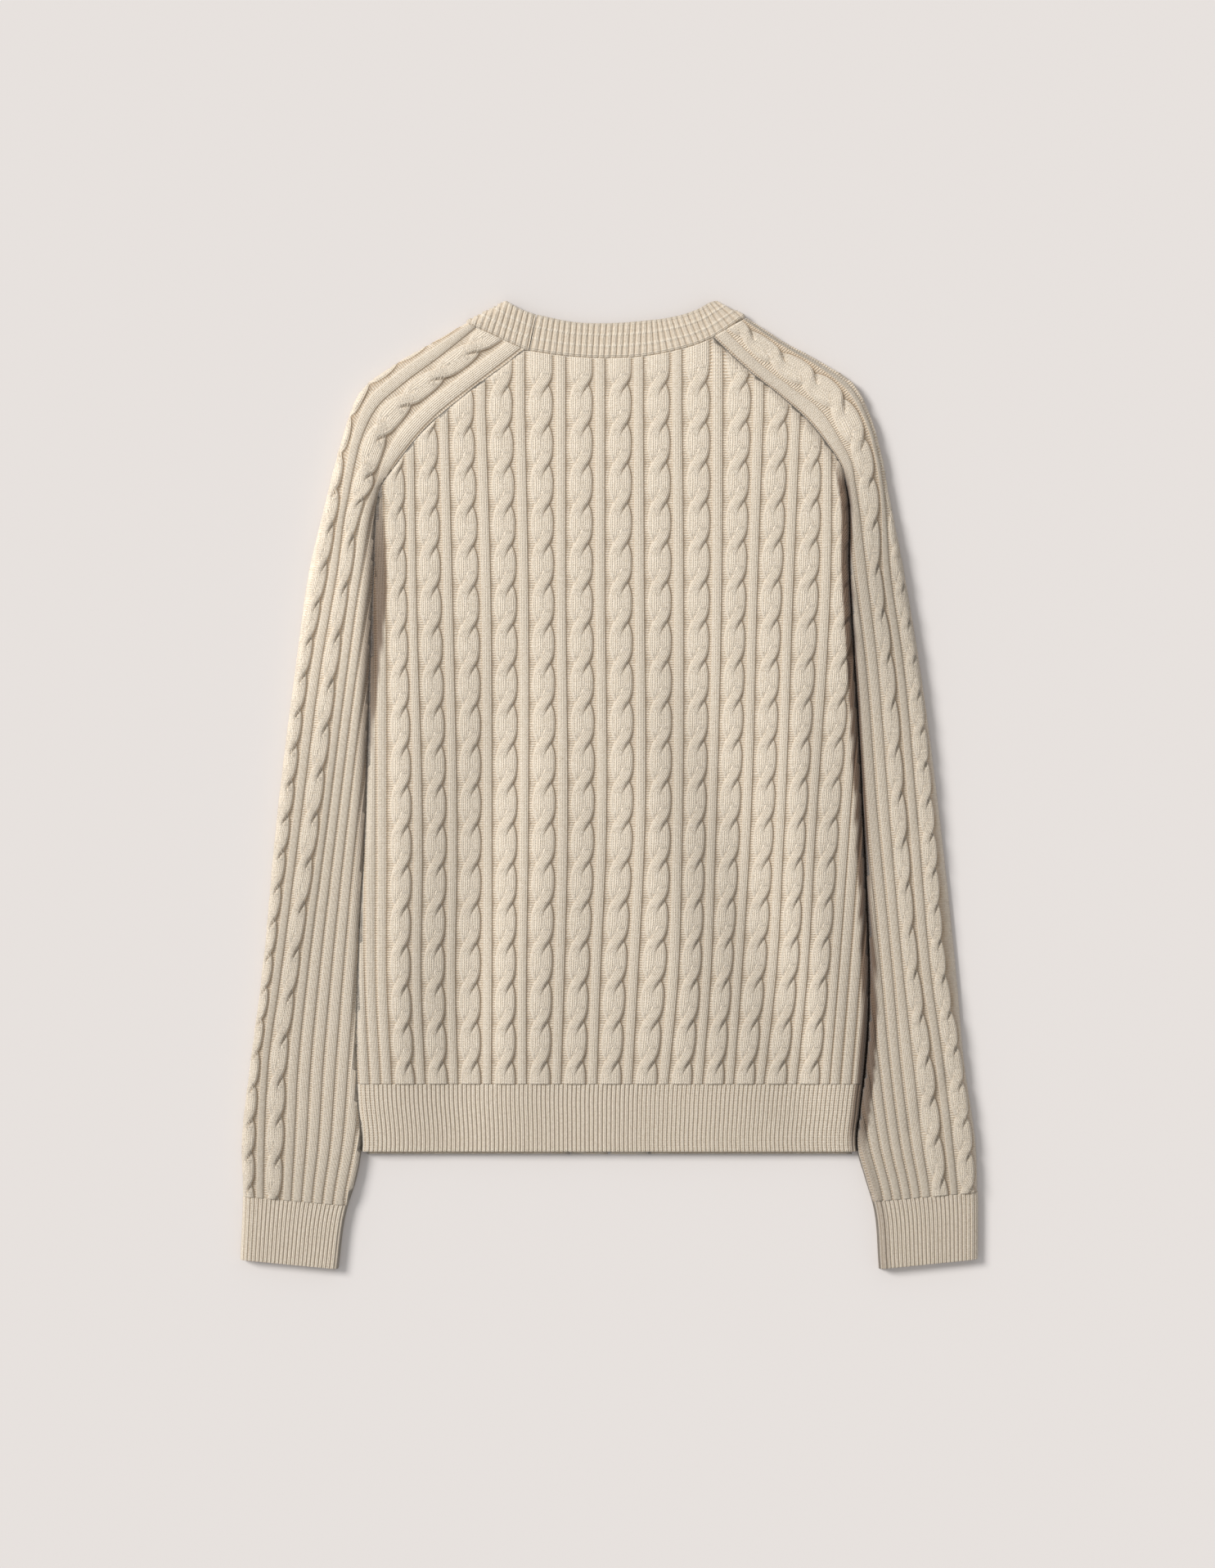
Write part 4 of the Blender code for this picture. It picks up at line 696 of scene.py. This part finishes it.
def add_stitches(mesh, knit, course):
    """UV in wales and courses, continuous over each face, with the purl and the painted shade of creases and
    of the groove as attributes.
    """
    loops = np.empty(len(mesh.loops), np.int32)
    mesh.loops.foreach_get("vertex_index", loops)
    totals = np.empty(len(mesh.polygons), np.int32)
    mesh.polygons.foreach_get("loop_total", totals)
    first = np.repeat(np.cumsum(totals) - totals, totals)
    wale = np.where(knit.on_front > 0.5, knit.wale, knit.beneath)[loops]
    step = wale - wale[first]
    in_cable = (knit.on_front < 1.5)[loops]
    wale = wale[first] + step - np.round(step) * (in_cable & in_cable[first])
    mesh.uv_layers.new(name="stitch").data.foreach_set("uv", np.column_stack((wale, course[loops])).ravel())
    for name, values in (("purl", knit.purl), ("crease", knit.crease), ("groove", knit.groove)):
        mesh.attributes.new(name, "FLOAT", "POINT").data.foreach_set("value", values)


def add_tone_and_shade(mesh, points, share):
    """Painted light and shade over the garment, as a colour on the points: lighter upwards, to the left, on
    the left upper arm and on wave slopes that face the light; share is the piece's own tone.
    """
    x, y = points[:, 0], points[:, 1]
    arm_light = smooth((abs(x) - ARM_START) / ARM_FADE) * np.exp(-((y - ARM_MIDDLE) / ARM_LENGTH) ** 2)
    arm_light = ARM_PAINTED_LIGHT * arm_light
    tone_and_shade = share * np.clip(1 + PAINTED_LIGHT_UP * (y - PAINTED_LIGHT_ZERO) + PAINTED_LIGHT_ACROSS * x - np.sign(x) * arm_light, 0.6, 1.25)
    tone_and_shade = tone_and_shade * (1 + WAVE_PAINTED_SHADE * wave(x, y)[1])
    colours = np.column_stack((tone_and_shade, tone_and_shade, tone_and_shade, np.ones(len(tone_and_shade))))
    mesh.attributes.new("tone_and_shade", "FLOAT_COLOR", "POINT").data.foreach_set("color", colours.ravel())


# ---- back and its hem ----
def nearest_crossing(v):
    """Pitches below the nearest crossing of the back."""
    turns = (CROSSING_TOP - v) / TWIST_PITCH
    return turns - np.clip(np.round(turns), 0, CROSSINGS - 1)


def side_ribs(key, x, first, shares):
    """Columns of the four ribs on one side of the cables."""
    ribs = []
    for k in range(4):
        at = x + (first + k + shares) * SIDE_RIB
        ribs.append(rib_columns(key + k + shares, at, shares, RIB_HEIGHT, 4, *SIDE_RIB_SHARE))
    return ribs


def back_knit(v):
    """Columns of the back at level v, without its sides: ribs, and cables between purl and ribs."""
    edges = curve(CABLE_LEVELS, CABLE_EDGES, v) + EDGE_SHIFT
    q = nearest_crossing(v)
    parts = side_ribs(6, edges[0], -4, SIDE_SHARES)
    for k in range(13):
        width = edges[k + 1] - edges[k]
        middle = edges[k] + CABLE_MIDDLE * width
        keys = 10 + k + CABLE_START + (RIB_START - 0.05 - CABLE_START) * CABLE_SHARES
        knit = cable_columns(keys, middle, CABLE_HALF * width, q)
        rib_start = edges[k] + RIB_START * width
        left_purl = purl_column(10.04 + k, 0.5 * (edges[k] + knit.d[0]))
        right_purl = purl_column(10 + k + RIB_START - 0.025, 0.5 * (knit.d[-1] + rib_start))
        at = rib_start + RIB_SHARES * (1 - RIB_START) * width
        rib = rib_columns(10 + k + RIB_START + RIB_SHARES * (1 - RIB_START), at, RIB_SHARES, RIB_HEIGHT)
        parts += [left_purl, knit, right_purl, rib]
    return Knit.join(parts + side_ribs(23, edges[13], 0, SIDE_SHARES[1:]))


def with_sides(knit, v):
    """The columns between the two sides of row v, with those sides."""
    first, last = body_ends(v)
    left, right = row_ends(v)
    knit = knit.pick((knit.d > left + MARGIN) & (knit.d < right - MARGIN))
    low = plain((-9, -8.6, -8.3, -8), (first, first + 0.6 * (left - first), left - 0.6, left))
    if first > left - 0.1:
        low = plain((-9,), (left,))
    knit = Knit.join((low, knit, far_side(right, last)))
    knit.height = knit.height * smooth(np.minimum(knit.d - left, right - knit.d) / SEAM_EASE + 0.1)
    # painted shade in the groove beside each sleeve: on the left of the body, and along its right side
    trough = smooth((np.interp(v, *TROUGH_REACH) - knit.d + left) / 2.0)
    deep = shaded(right - knit.d, RIGHT_GROOVE, BODY_SHADE)
    knit.groove = np.maximum(groove(0, v) * trough, groove(2, v) * deep)
    return knit


def far_side(corner, last):
    """Columns from the upper layer's corner down its side, or the corner alone where there is no side."""
    if last < corner + 0.1:
        return plain((39,), (corner,))
    return plain((38, 38.3, 38.6, 39), (corner, corner + 0.6, last - 0.6 * (last - corner), last))


def groove(which, y):
    """How dark the painted shade in the groove is at height y: 0 left on the body, 1 left on the sleeve, 2
    right; 0 also scales the left trough's depth.
    """
    return np.interp(y, GROOVE_SHADES[:, 0], GROOVE_SHADES[:, 1 + which])


def shaded(inward, width, shade):
    """Share of the groove's painted shade inward of the line: all over a width, and a softer painted shade
    beside it.
    """
    strength, reach = shade
    return np.minimum(smooth((width - inward) / 2.0) + strength * smooth(1 - inward / reach), 1)


def waved(points):
    """Outer points with the long soft troughs and ridges of a body that isn't quite flat."""
    points[:, 2] += (points[:, 2] > WAVE_ABOVE) * wave(points[:, 0], points[:, 1])[0]
    return points


def wave(x, y):
    """Height of the body's soft waves, and their slope across."""
    height, slope = 0.0, 0.0
    for at, lean, wide, middle, long, top in WAVES:
        across = (x - at - lean * (y - middle)) / wide
        one = top * np.exp(-across ** 2 - ((y - middle) / long) ** 4)
        height, slope = height + one, slope - 2 * across * one / wide
    return height, slope


def gathered(points):
    """Outer points with the small gathers that fan out under the left underarm."""
    right, down = points[:, 0] - UNDERARM[0], UNDERARM[1] - points[:, 1]
    far, angle = np.hypot(right, down), np.arctan2(right, down)
    share = smooth((far - 4.0) / 10.0) * smooth((GATHER_REACH - far) / 30.0)
    share = share * smooth((angle + 0.05) / 0.15) * smooth((1.0 - angle) / 0.35)
    points[:, 2] += GATHER_HEIGHT * share * (np.sqrt(abs(np.sin(angle * GATHERS + 0.3))) - 0.6)
    return above_table(points)


def filled(points, inward, fill):
    """Outer points, higher beside the line where the body and a sleeve touch, by a table of y and height."""
    low = np.interp(points[:, 1], *fill)
    share = smooth(1.15 - inward / 8.0) * (inward > -0.1)
    points[:, 2] += share * np.maximum(low - points[:, 2], 0.0)
    return points


def inner_of(knit, left, right, stride, uprights):
    """Coarse inner columns: the ends, one column in stride well inside, and the corners of upright sides."""
    inside = np.flatnonzero((knit.d > left + WELL_INSIDE) & (knit.d < right - WELL_INSIDE))
    keep = {0, len(knit.d) - 1, *inside[::stride]}
    keep |= {int(np.argmin(abs(knit.d - corner))) for corner, _ in uprights}
    chosen = knit.pick(np.array(sorted(keep)))
    return chosen, [(int(np.argmin(abs(chosen.d - corner))), inward) for corner, inward in uprights]


def end_share(t, rows):
    """Share of the relief on a row: less at the first and the last one, which lie in a seam."""
    return smooth(min(t - rows[0], rows[-1] - t) / 2.0 + 0.6)


def body_shell(name, levels, knit_at, inner_every, stride, material):
    """Shell of the back or its hem over the given levels."""
    steps, outer, inner = (0.5, 0.4, 0.0), {}, {}  # spacing and climb of the normals
    for n, v in enumerate(levels):
        left, right = row_ends(v)
        knit = with_sides(knit_at(v), v)
        end = end_share(v, levels) * np.interp(v, *RELIEF)
        points = raised(body, v, knit.d, knit.height * end, steps, 1)
        from_left = knit.d - left
        trough = smooth((np.interp(v, *TROUGH_REACH) - from_left) / 4.0) * (from_left > 0.5)
        deeper = points[:, 2] - TROUGH_DEPTH * groove(0, v) * trough
        points[:, 2] = np.maximum(deeper, np.minimum(points[:, 2], TROUGH_FLOOR))
        points = filled(waved(gathered(points)), from_left, FILL_LEFT)
        outer[v] = (knit, filled(points, right - knit.d, FILL_RIGHT))
        if n % inner_every == 0 or v == levels[-1]:
            first, last = body_ends(v)
            sides = ((left, 1, left - first), (right, -1, last - right))
            uprights = [(corner, inward) for corner, inward, down in sides if down > 0.1]
            chosen, corners = inner_of(knit, left, right, stride, uprights)
            inner[v] = (chosen, sunk(body, v, chosen.d, steps, 1, corners))
    return shell(name, outer, inner, material)


def make_back(material):
    """Back panel: cables and ribs, cut by the raglan seams and the neck."""
    low, high = HEM_TOP + GAP, NECKLINE[0, 1] - GAP
    turns = np.arange(-1, CROSSINGS + 1)[:, None] + ROW_TURNS
    levels = np.sort(CROSSING_TOP - TWIST_PITCH * turns.ravel())
    levels = levels[(levels > low + 1.0) & (levels < high - 1.0)]
    levels = np.concatenate(([low, low + 0.6], levels, [high - 0.6, high]))
    obj = body_shell("back", levels, back_knit, 8, 9, material)


def make_hem_back(material):
    """Ribbed hem under the back."""
    def knit_at(v):
        """Columns of row v."""
        return fine_ribs(HEM_RIBS, *row_ends(v), 10)

    obj = body_shell("hem_back", ribbed_rows(HEM_END, HEM_TOP - GAP), knit_at, 5, 40, material)


# ---- sleeves and cuffs ----
def sleeve_knit(sleeve, t):
    """Columns of a sleeve's upper layer: a cable at the fold, a rib, a cable, then ribs to the seam."""
    grooves, turns = sleeve.grooves(t), sleeve.turns(t)
    mirrored, parts = sleeve.sign > 0, []
    half = 0.45 * max(grooves[3] - grooves[2], 12.0)
    for i in range(len(grooves) - 1):
        width = grooves[i + 1] - grooves[i]
        if i in (0, 2):
            q = turns[i // 2] - np.round(turns[i // 2])
            middle = grooves[1] - half / 0.9 if i == 0 else 0.5 * (grooves[2] + grooves[3])
            knit = cable_columns(i + CABLE_SHARES * 0.9 + 0.05, middle, half, q, mirrored)
            parts.append(knit.pick(knit.d > 0.5) if i == 0 else knit)
        else:
            keys = i + SLEEVE_RIB_SHARES
            at = grooves[i] + SLEEVE_RIB_SHARES * width
            parts.append(rib_columns(keys, at, SLEEVE_RIB_SHARES, RIB_HEIGHT, 4, *SLEEVE_RIB_SHARE))
    return Knit.join(parts)


def with_fold(knit, sleeve, t):
    """The columns of the upper layer with the lower layer, the fold and the inner side."""
    first, last = sleeve.ends(t)
    _, _, width, _, middle, row = sleeve.section(t)
    wrap = FOLD_WRAP * fold_radius(middle)
    shares = np.array((1, 0.8, 0.6, 0.4, 0.2))
    at = np.concatenate(((first, 0.5 * (first - wrap)), -wrap * shares))
    below = plain(np.concatenate(((-3, -2.5), -shares * 2)), at)
    knit = Knit.join((below, knit.pick(knit.d < width - MARGIN), far_side(width, last)))
    knit.height = knit.height * smooth((width - knit.d) / SEAM_EASE + 0.1)
    knit.height = knit.height * np.where(knit.d > 0, smooth(knit.d / FOLD_EASE + 0.15), 1)
    y, inward = row[2], width - knit.d
    # painted shade in the groove along the sleeve's inner side, by the body
    if sleeve.sign < 0:
        knit.groove = groove(1, y) * smooth(1.1 - inward / LEFT_GROOVE)
    else:
        knit.groove = groove(2, y) * shaded(inward, np.interp(y, *SLEEVE_REACH), SLEEVE_SHADE)
    return knit


def sleeve_shell(name, sleeve, times, knit_at, inner_every, stride, material):
    """Shell of a sleeve or a cuff over the given rows."""
    steps, outer, inner = (0.5, 0.3, 0.0), {}, {}
    fill = FILL_LEFT if sleeve.sign < 0 else FILL_RIGHT
    for n, t in enumerate(times):
        width = sleeve.section(t)[2]
        knit = with_fold(knit_at(t), sleeve, t)
        end = end_share(t, times)
        points = raised(sleeve.surface, t, knit.d, knit.height * end * SLEEVE_RELIEF, steps, sleeve.sign)
        if t == GAP:  # a little further under the edge of the neckband
            points += SEAM_REACH * (sleeve.surface(t, knit.d) - sleeve.surface(t + 1.0, knit.d))
            points = above_table(points)
        outer[t] = (knit, filled(points, width - knit.d, fill))
        if n % inner_every == 0 or t == times[-1]:
            uprights = [(width, -1)] if sleeve.ends(t)[1] > width + 0.1 else []
            chosen, corners = inner_of(knit, -100, width, stride, uprights)
            inner[t] = (chosen, sunk(sleeve.surface, t, chosen.d, steps, sleeve.sign, corners))
    return shell(name, outer, inner, material)


def make_sleeve(name, sleeve, material):
    """Sleeve from the neckband to the cuff, folded at its outer edge."""
    end = sleeve.rows[CUFF_ROW] - GAP
    times = np.concatenate(([GAP], np.arange(GAP + 0.6, end - 0.7, SLEEVE_COURSE), [end - 0.5, end]))
    obj = sleeve_shell(name, sleeve, times, lambda t: sleeve_knit(sleeve, t), 6, 7, material)


def make_cuff(name, sleeve, material):
    """Ribbed cuff, folded at the outer edge like its sleeve."""
    def knit_at(t):
        """Columns of row t."""
        return fine_ribs(CUFF_RIBS, 0, sleeve.section(t)[2])

    times = ribbed_rows(sleeve.rows[CUFF_ROW] + GAP, sleeve.rows[CUFF_ROW + 1])
    obj = sleeve_shell(name, sleeve, times, knit_at, 5, 12, material)


# ---- neckband ----
def make_band(name, band, sign, material):
    """Ribbed band: back neck, over the shoulder fold, then down the front to the hem."""
    steps = (0.5, 0.02, 1.0)
    end = band.rows[-1]
    ribs = np.arange(int(end / BAND_RIB_PITCH))[:, None] + BAND_SHARES
    times = np.concatenate(([GAP, GAP + 0.4], BAND_RIB_PITCH * (ribs.ravel() + 0.3), [end]))
    outer, inner = {}, {}
    for n, u in enumerate(times[:-1]):
        if u > end - 1:
            continue
        f = (u / BAND_RIB_PITCH - 0.3) % 1.0
        places = np.array((-BAND_BULGE * plateau(f), *BAND_PLACES))
        height = BAND_HEIGHT * plateau(f, 2.2, 0.7) * smooth(np.minimum(places, 1 - places) / 0.07 + 0.12)
        # painted shade between the band's ribs
        crease = BAND_CREASE_SHADE * (1 - plateau(f, 4.0, 1.0))
        knit = Knit(places, places, height, places * 12, crease=crease)
        outer[u] = (knit, raised(band.surface, u, places, knit.height, steps, sign))
        if n % 4 == 0:
            chosen = knit.pick(np.array((0, 4, 7, 10, 14)))
            inner[u] = (chosen, sunk(band.surface, u, chosen.d, steps, sign))
    knit = plain((0, 0.3, 0.5, 0.8, 1), (0, 0.3, 0.5, 0.8, 1))
    outer[end] = (knit, raised(band.surface, end, knit.d, knit.height, steps, sign))
    inner[end] = (knit, sunk(band.surface, end, knit.d, steps, sign))
    obj = shell(name, outer, inner, material)


# ---- the lower layer: fronts and their hems ----
def lower_shell(name, levels, ends_at, knit_at, material):
    """Slab of the lower layer: ribs and cables pressed flat on the table, a plain face above."""
    outer, inner = {}, {}
    for v in levels:
        a, b = ends_at(v)
        knit = knit_at(v)
        inside = knit.pick((knit.d > a + MARGIN) & (knit.d < b - MARGIN))
        knit = Knit.join((plain((-9,), (a,)), inside, plain((99,), (b,))))
        sunk_z = PRESSED * (1 - np.clip(knit.height / CABLE_HEIGHT, 0, 1))
        outer[v] = (knit, np.column_stack((knit.d, np.full(len(knit.d), v), sunk_z)))
        chosen = knit.pick(np.array(sorted({0, len(knit.d) - 1, *range(4, len(knit.d) - 4, 12)})))
        inner[v] = (chosen, np.array([(x, v, UNDER) for x in chosen.d]))
    return shell(name, outer, inner, material)


def front_ends(sleeve, band, front_row):
    """Function that gives the lowest and highest x of a front at each y."""
    sign = sleeve.sign
    cap = np.arange(sleeve.rows[CAP_ROWS] - 2.0, 10.0, -6.0)
    raglan = np.array([sleeve.under_edge(t, HIDDEN_GAP) for t in cap])
    knots = list(band.rows[front_row:])
    knots = sorted(knots + [0.5 * (a + b) for a, b in zip(knots[:-2], knots[1:-1])])
    edge = np.array([band.seam_edge(u, HIDDEN_GAP) for u in knots])[::-1]

    def side(y):
        """x of the outer edge below the underarm."""
        rounding = curve(sleeve.side[:, 0], sleeve.side[:, 2], y)
        return side_x(sleeve.side, y) - sign * (GAP + WALL + SIDE_GAP + 0.3 * (rounding - ROUNDING))

    def ends(y):
        """Lowest and highest x."""
        outer = side(y) if y < sleeve.underarm[0] else np.interp(y, raglan[:, 1], raglan[:, 0])
        if sleeve.underarm[0] <= y < raglan[0, 1]:
            share = (y - sleeve.underarm[0]) / (raglan[0, 1] - sleeve.underarm[0])
            outer = (1 - share) * side(sleeve.underarm[0]) + share * raglan[0, 0]
        inner = np.interp(y, edge[:, 1], edge[:, 0])
        return (inner, outer) if sign > 0 else (outer, inner)

    return ends


def make_front(name, sleeve, band, front_row, material):
    """Front panel, knitted like the back, its cables pressed against the table."""
    ends = front_ends(sleeve, band, front_row)
    top = min(NECKLINE[0, 1] - 8.0, 340.0)
    levels = np.arange(HEM_TOP + 0.2, top, FRONT_COURSE)
    levels = np.array([v for v in levels if ends(v)[1] - ends(v)[0] > 3.0])
    obj = lower_shell(name, levels, ends, back_knit, material)


def make_hem_front(name, sleeve, band, material):
    """Lower layer of the hem, which shows a little below the upper one."""
    sign = sleeve.sign
    centre = band.seam_edge(band.rows[-1], HIDDEN_GAP)[0]

    def ends(v):
        """Lowest and highest x."""
        outer = side_x(sleeve.side, max(v, HEM_END)) - sign * (GAP + WALL + SIDE_GAP)
        return (centre, outer) if sign > 0 else (outer, centre)

    def knit_at(v):
        """Columns of row v."""
        return fine_ribs(FRONT_RIBS, *ends(v), height=CABLE_HEIGHT, crease_shade_share=1.0)

    levels = np.linspace(FRONT_HEM_END, HEM_TOP - 0.2, 12)
    obj = lower_shell(name, levels, ends, knit_at, material)


# ---- wool ----
class Nodes:
    """Short calls for a material's node tree."""

    def __init__(self, name, finish):
        self.material = bpy.data.materials.new(name)
        self.material.use_nodes = True
        self.tree = self.material.node_tree
        self.shader = self.tree.nodes["Principled BSDF"]
        for socket, value in finish.items():
            self.shader.inputs[socket].default_value = value

    def add(self, kind, inputs=None, **settings):
        """New node with its settings, its inputs given by name or number."""
        node = self.tree.nodes.new(kind)
        for key, value in settings.items():
            setattr(node, key, value)
        for key, value in (inputs or {}).items():
            self.put(node.inputs[key], value)
        return node

    def put(self, socket, value):
        """Sets a socket to a number or colour, or links it to another."""
        if isinstance(value, (int, float, tuple)):
            socket.default_value = value
        else:
            self.tree.links.new(value, socket)

    def math(self, operation, *values):
        """One step of arithmetic."""
        return self.add("ShaderNodeMath", dict(enumerate(values)), operation=operation).outputs[0]

    def ripple(self, value, rate, share):
        """0.5 + share * cos(rate * value)."""
        cosine = self.math("COSINE", self.math("MULTIPLY", value, rate))
        return self.math("MULTIPLY_ADD", cosine, share, 0.5)

    def noise(self, scale, detail):
        """Noise over the object, from 0 to 1."""
        where = self.add("ShaderNodeTexCoord").outputs["Object"]
        inputs = {"Scale": scale, "Detail": detail, "Vector": where}
        return self.add("ShaderNodeTexNoise", inputs).outputs["Fac"]

    def centred(self, noise):
        """Noise from -0.5 to 0.5."""
        return self.math("SUBTRACT", self.noise(*noise), 0.5)

    def attribute(self, name, output="Fac"):
        """Attribute of the mesh."""
        return self.add("ShaderNodeAttribute", attribute_name=name).outputs[output]

    def mix(self, factor, a, b, kind="RGBA", **settings):
        """Two colours or numbers mixed."""
        inputs = {"Factor": factor, "A": a, "B": b}
        return self.add("ShaderNodeMix", inputs, data_type=kind, **settings).outputs["Result"]


def wool(name):
    """Heathered wool: stitches as bump from the stitch map, flecks and mottling in its colour, painted shade
    between stitches, in purl, in creases and in the groove beside the sleeves, and painted light and shade
    from the tone attribute.
    """
    nodes = Nodes(name, WOOL_FINISH)
    uv = nodes.add("ShaderNodeUVMap", uv_map="stitch").outputs["UV"]
    wale, course = nodes.add("ShaderNodeSeparateXYZ", {0: uv}).outputs[:2]
    purl, crease = nodes.attribute("purl"), nodes.attribute("crease")
    aside = nodes.math("ABSOLUTE", nodes.math("SUBTRACT", nodes.math("FRACT", wale), 0.5))
    course = nodes.math("ADD", course, nodes.math("MULTIPLY", nodes.centred(WOBBLE_NOISE), WOBBLE))
    leg = nodes.math("ADD", course, nodes.math("MULTIPLY", aside, LEG_SLOPE))
    legs, rungs = nodes.ripple(leg, 2 * np.pi, 0.5), nodes.ripple(course, 2 * np.pi, 0.5)
    column = nodes.ripple(aside, 4 * np.pi, -0.5)
    knit = nodes.math("MULTIPLY_ADD", legs, 0.3, nodes.math("MULTIPLY", column, 0.7))
    stitch = nodes.mix(purl, knit, rungs, "FLOAT")
    height = nodes.math("MULTIPLY_ADD", nodes.noise(*FUZZ_NOISE), FUZZ, stitch)
    bump = nodes.add("ShaderNodeBump", {"Strength": 1.0, "Distance": STITCH_DEPTH, "Height": height})
    nodes.put(nodes.shader.inputs["Normal"], bump.outputs[0])
    mottle = nodes.math("MULTIPLY_ADD", nodes.centred(MOTTLE_NOISE), MOTTLE, 0.5)
    flecks = nodes.math("GREATER_THAN", nodes.noise(*FLECK_NOISE), FLECK_ABOVE)
    # painted shade: SHADOW_WOOL between the stitches, more in purl
    hollow_shade = nodes.math("MULTIPLY_ADD", purl, PURL_DARK - RECESS_DARK, RECESS_DARK)
    recess_shade = nodes.math("MULTIPLY", nodes.math("SUBTRACT", 1.0, stitch), hollow_shade)
    colour = nodes.mix(mottle, TONE, SHADE)
    colour = nodes.mix(nodes.math("MULTIPLY", flecks, FLECK_SHARE), colour, FLECK)
    colour = nodes.mix(recess_shade, colour, SHADOW_WOOL)
    # painted shade in the creases
    colour = nodes.mix(nodes.math("MULTIPLY", crease, CREASE_DARK), colour, SHADOW_WOOL)
    # painted deep shadow in the groove beside the sleeves
    colour = nodes.mix(nodes.attribute("groove"), colour, GROOVE_SHADOW_WOOL)
    # painted light and shade from the tone attribute
    colour = nodes.mix(1.0, colour, nodes.attribute("tone_and_shade", "Color"), blend_type="MULTIPLY")
    nodes.put(nodes.shader.inputs["Base Color"], colour)
    return nodes.material


# ---- stage ----
def make_floor():
    """Pale table top."""
    mesh = bpy.data.meshes.new("floor")
    r, z = FLOOR_HALF, -FLOOR_DROP
    mesh.from_pydata([(-r, -r, z), (r, -r, z), (r, r, z), (-r, r, z)], [], [(0, 1, 2, 3)])
    mesh.materials.append(Nodes("pale_table", FLOOR_FINISH).material)
    place("floor", mesh)


def make_lights():
    """A window's soft sun from the upper left, and the pale room."""
    sun = bpy.data.lights.new("window", "SUN")
    sun.energy, sun.angle, sun.color = SUN_ENERGY, SUN_ANGLE, SUN_COLOUR
    obj = place("window", sun)
    obj.rotation_mode = "QUATERNION"
    obj.rotation_quaternion = Vector(SUN_FROM).to_track_quat("Z", "Y")
    world = bpy.data.worlds.new("room")
    world.use_nodes = True
    room = world.node_tree.nodes["Background"].inputs
    room["Color"].default_value, room["Strength"].default_value = ROOM_COLOUR, ROOM_STRENGTH
    bpy.context.scene.world = world
    bpy.context.scene.view_settings.view_transform = "Standard"


def make_camera():
    """Camera straight above, far enough for a nearly level view."""
    camera = bpy.data.cameras.new("camera")
    camera.sensor_width, camera.sensor_fit = SENSOR, "AUTO"
    camera.lens = SENSOR * CAMERA_DISTANCE / FRAME_HEIGHT
    obj = place("camera", camera)
    obj.location = (*FRAME_CENTRE, CAMERA_DISTANCE + TOP_PLANE)
    bpy.context.scene.camera = obj


def main():
    """The stage, then every piece."""
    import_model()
    make_camera()
    make_lights()
    make_floor()
    cables, ribs = wool("oatmeal_cables"), wool("oatmeal_ribs")
    left = Sleeve(SLEEVE_LEFT, SIDE_LEFT, UNDERARM_LEFT, -1)
    right = Sleeve(SLEEVE_RIGHT, SIDE_RIGHT, UNDERARM_RIGHT, 1)
    sides = (("left", left, Band(BAND_LEFT, FOLD_LEFT), BAND_FRONT_LEFT),
             ("right", right, Band(BAND_RIGHT, FOLD_RIGHT), BAND_FRONT_RIGHT))
    make_back(cables)
    make_hem_back(ribs)
    for side, sleeve, _, _ in sides:
        make_sleeve("sleeve_" + side, sleeve, cables)
    for side, sleeve, _, _ in sides:
        make_cuff("cuff_" + side, sleeve, ribs)
    for side, sleeve, band, _ in sides:
        make_band("band_" + side, band, -sleeve.sign, ribs)
    for side, sleeve, band, front_row in sides:
        make_front("front_" + side, sleeve, band, front_row, cables)
    for side, sleeve, band, _ in sides:
        make_hem_front("hem_front_" + side, sleeve, band, ribs)


main()
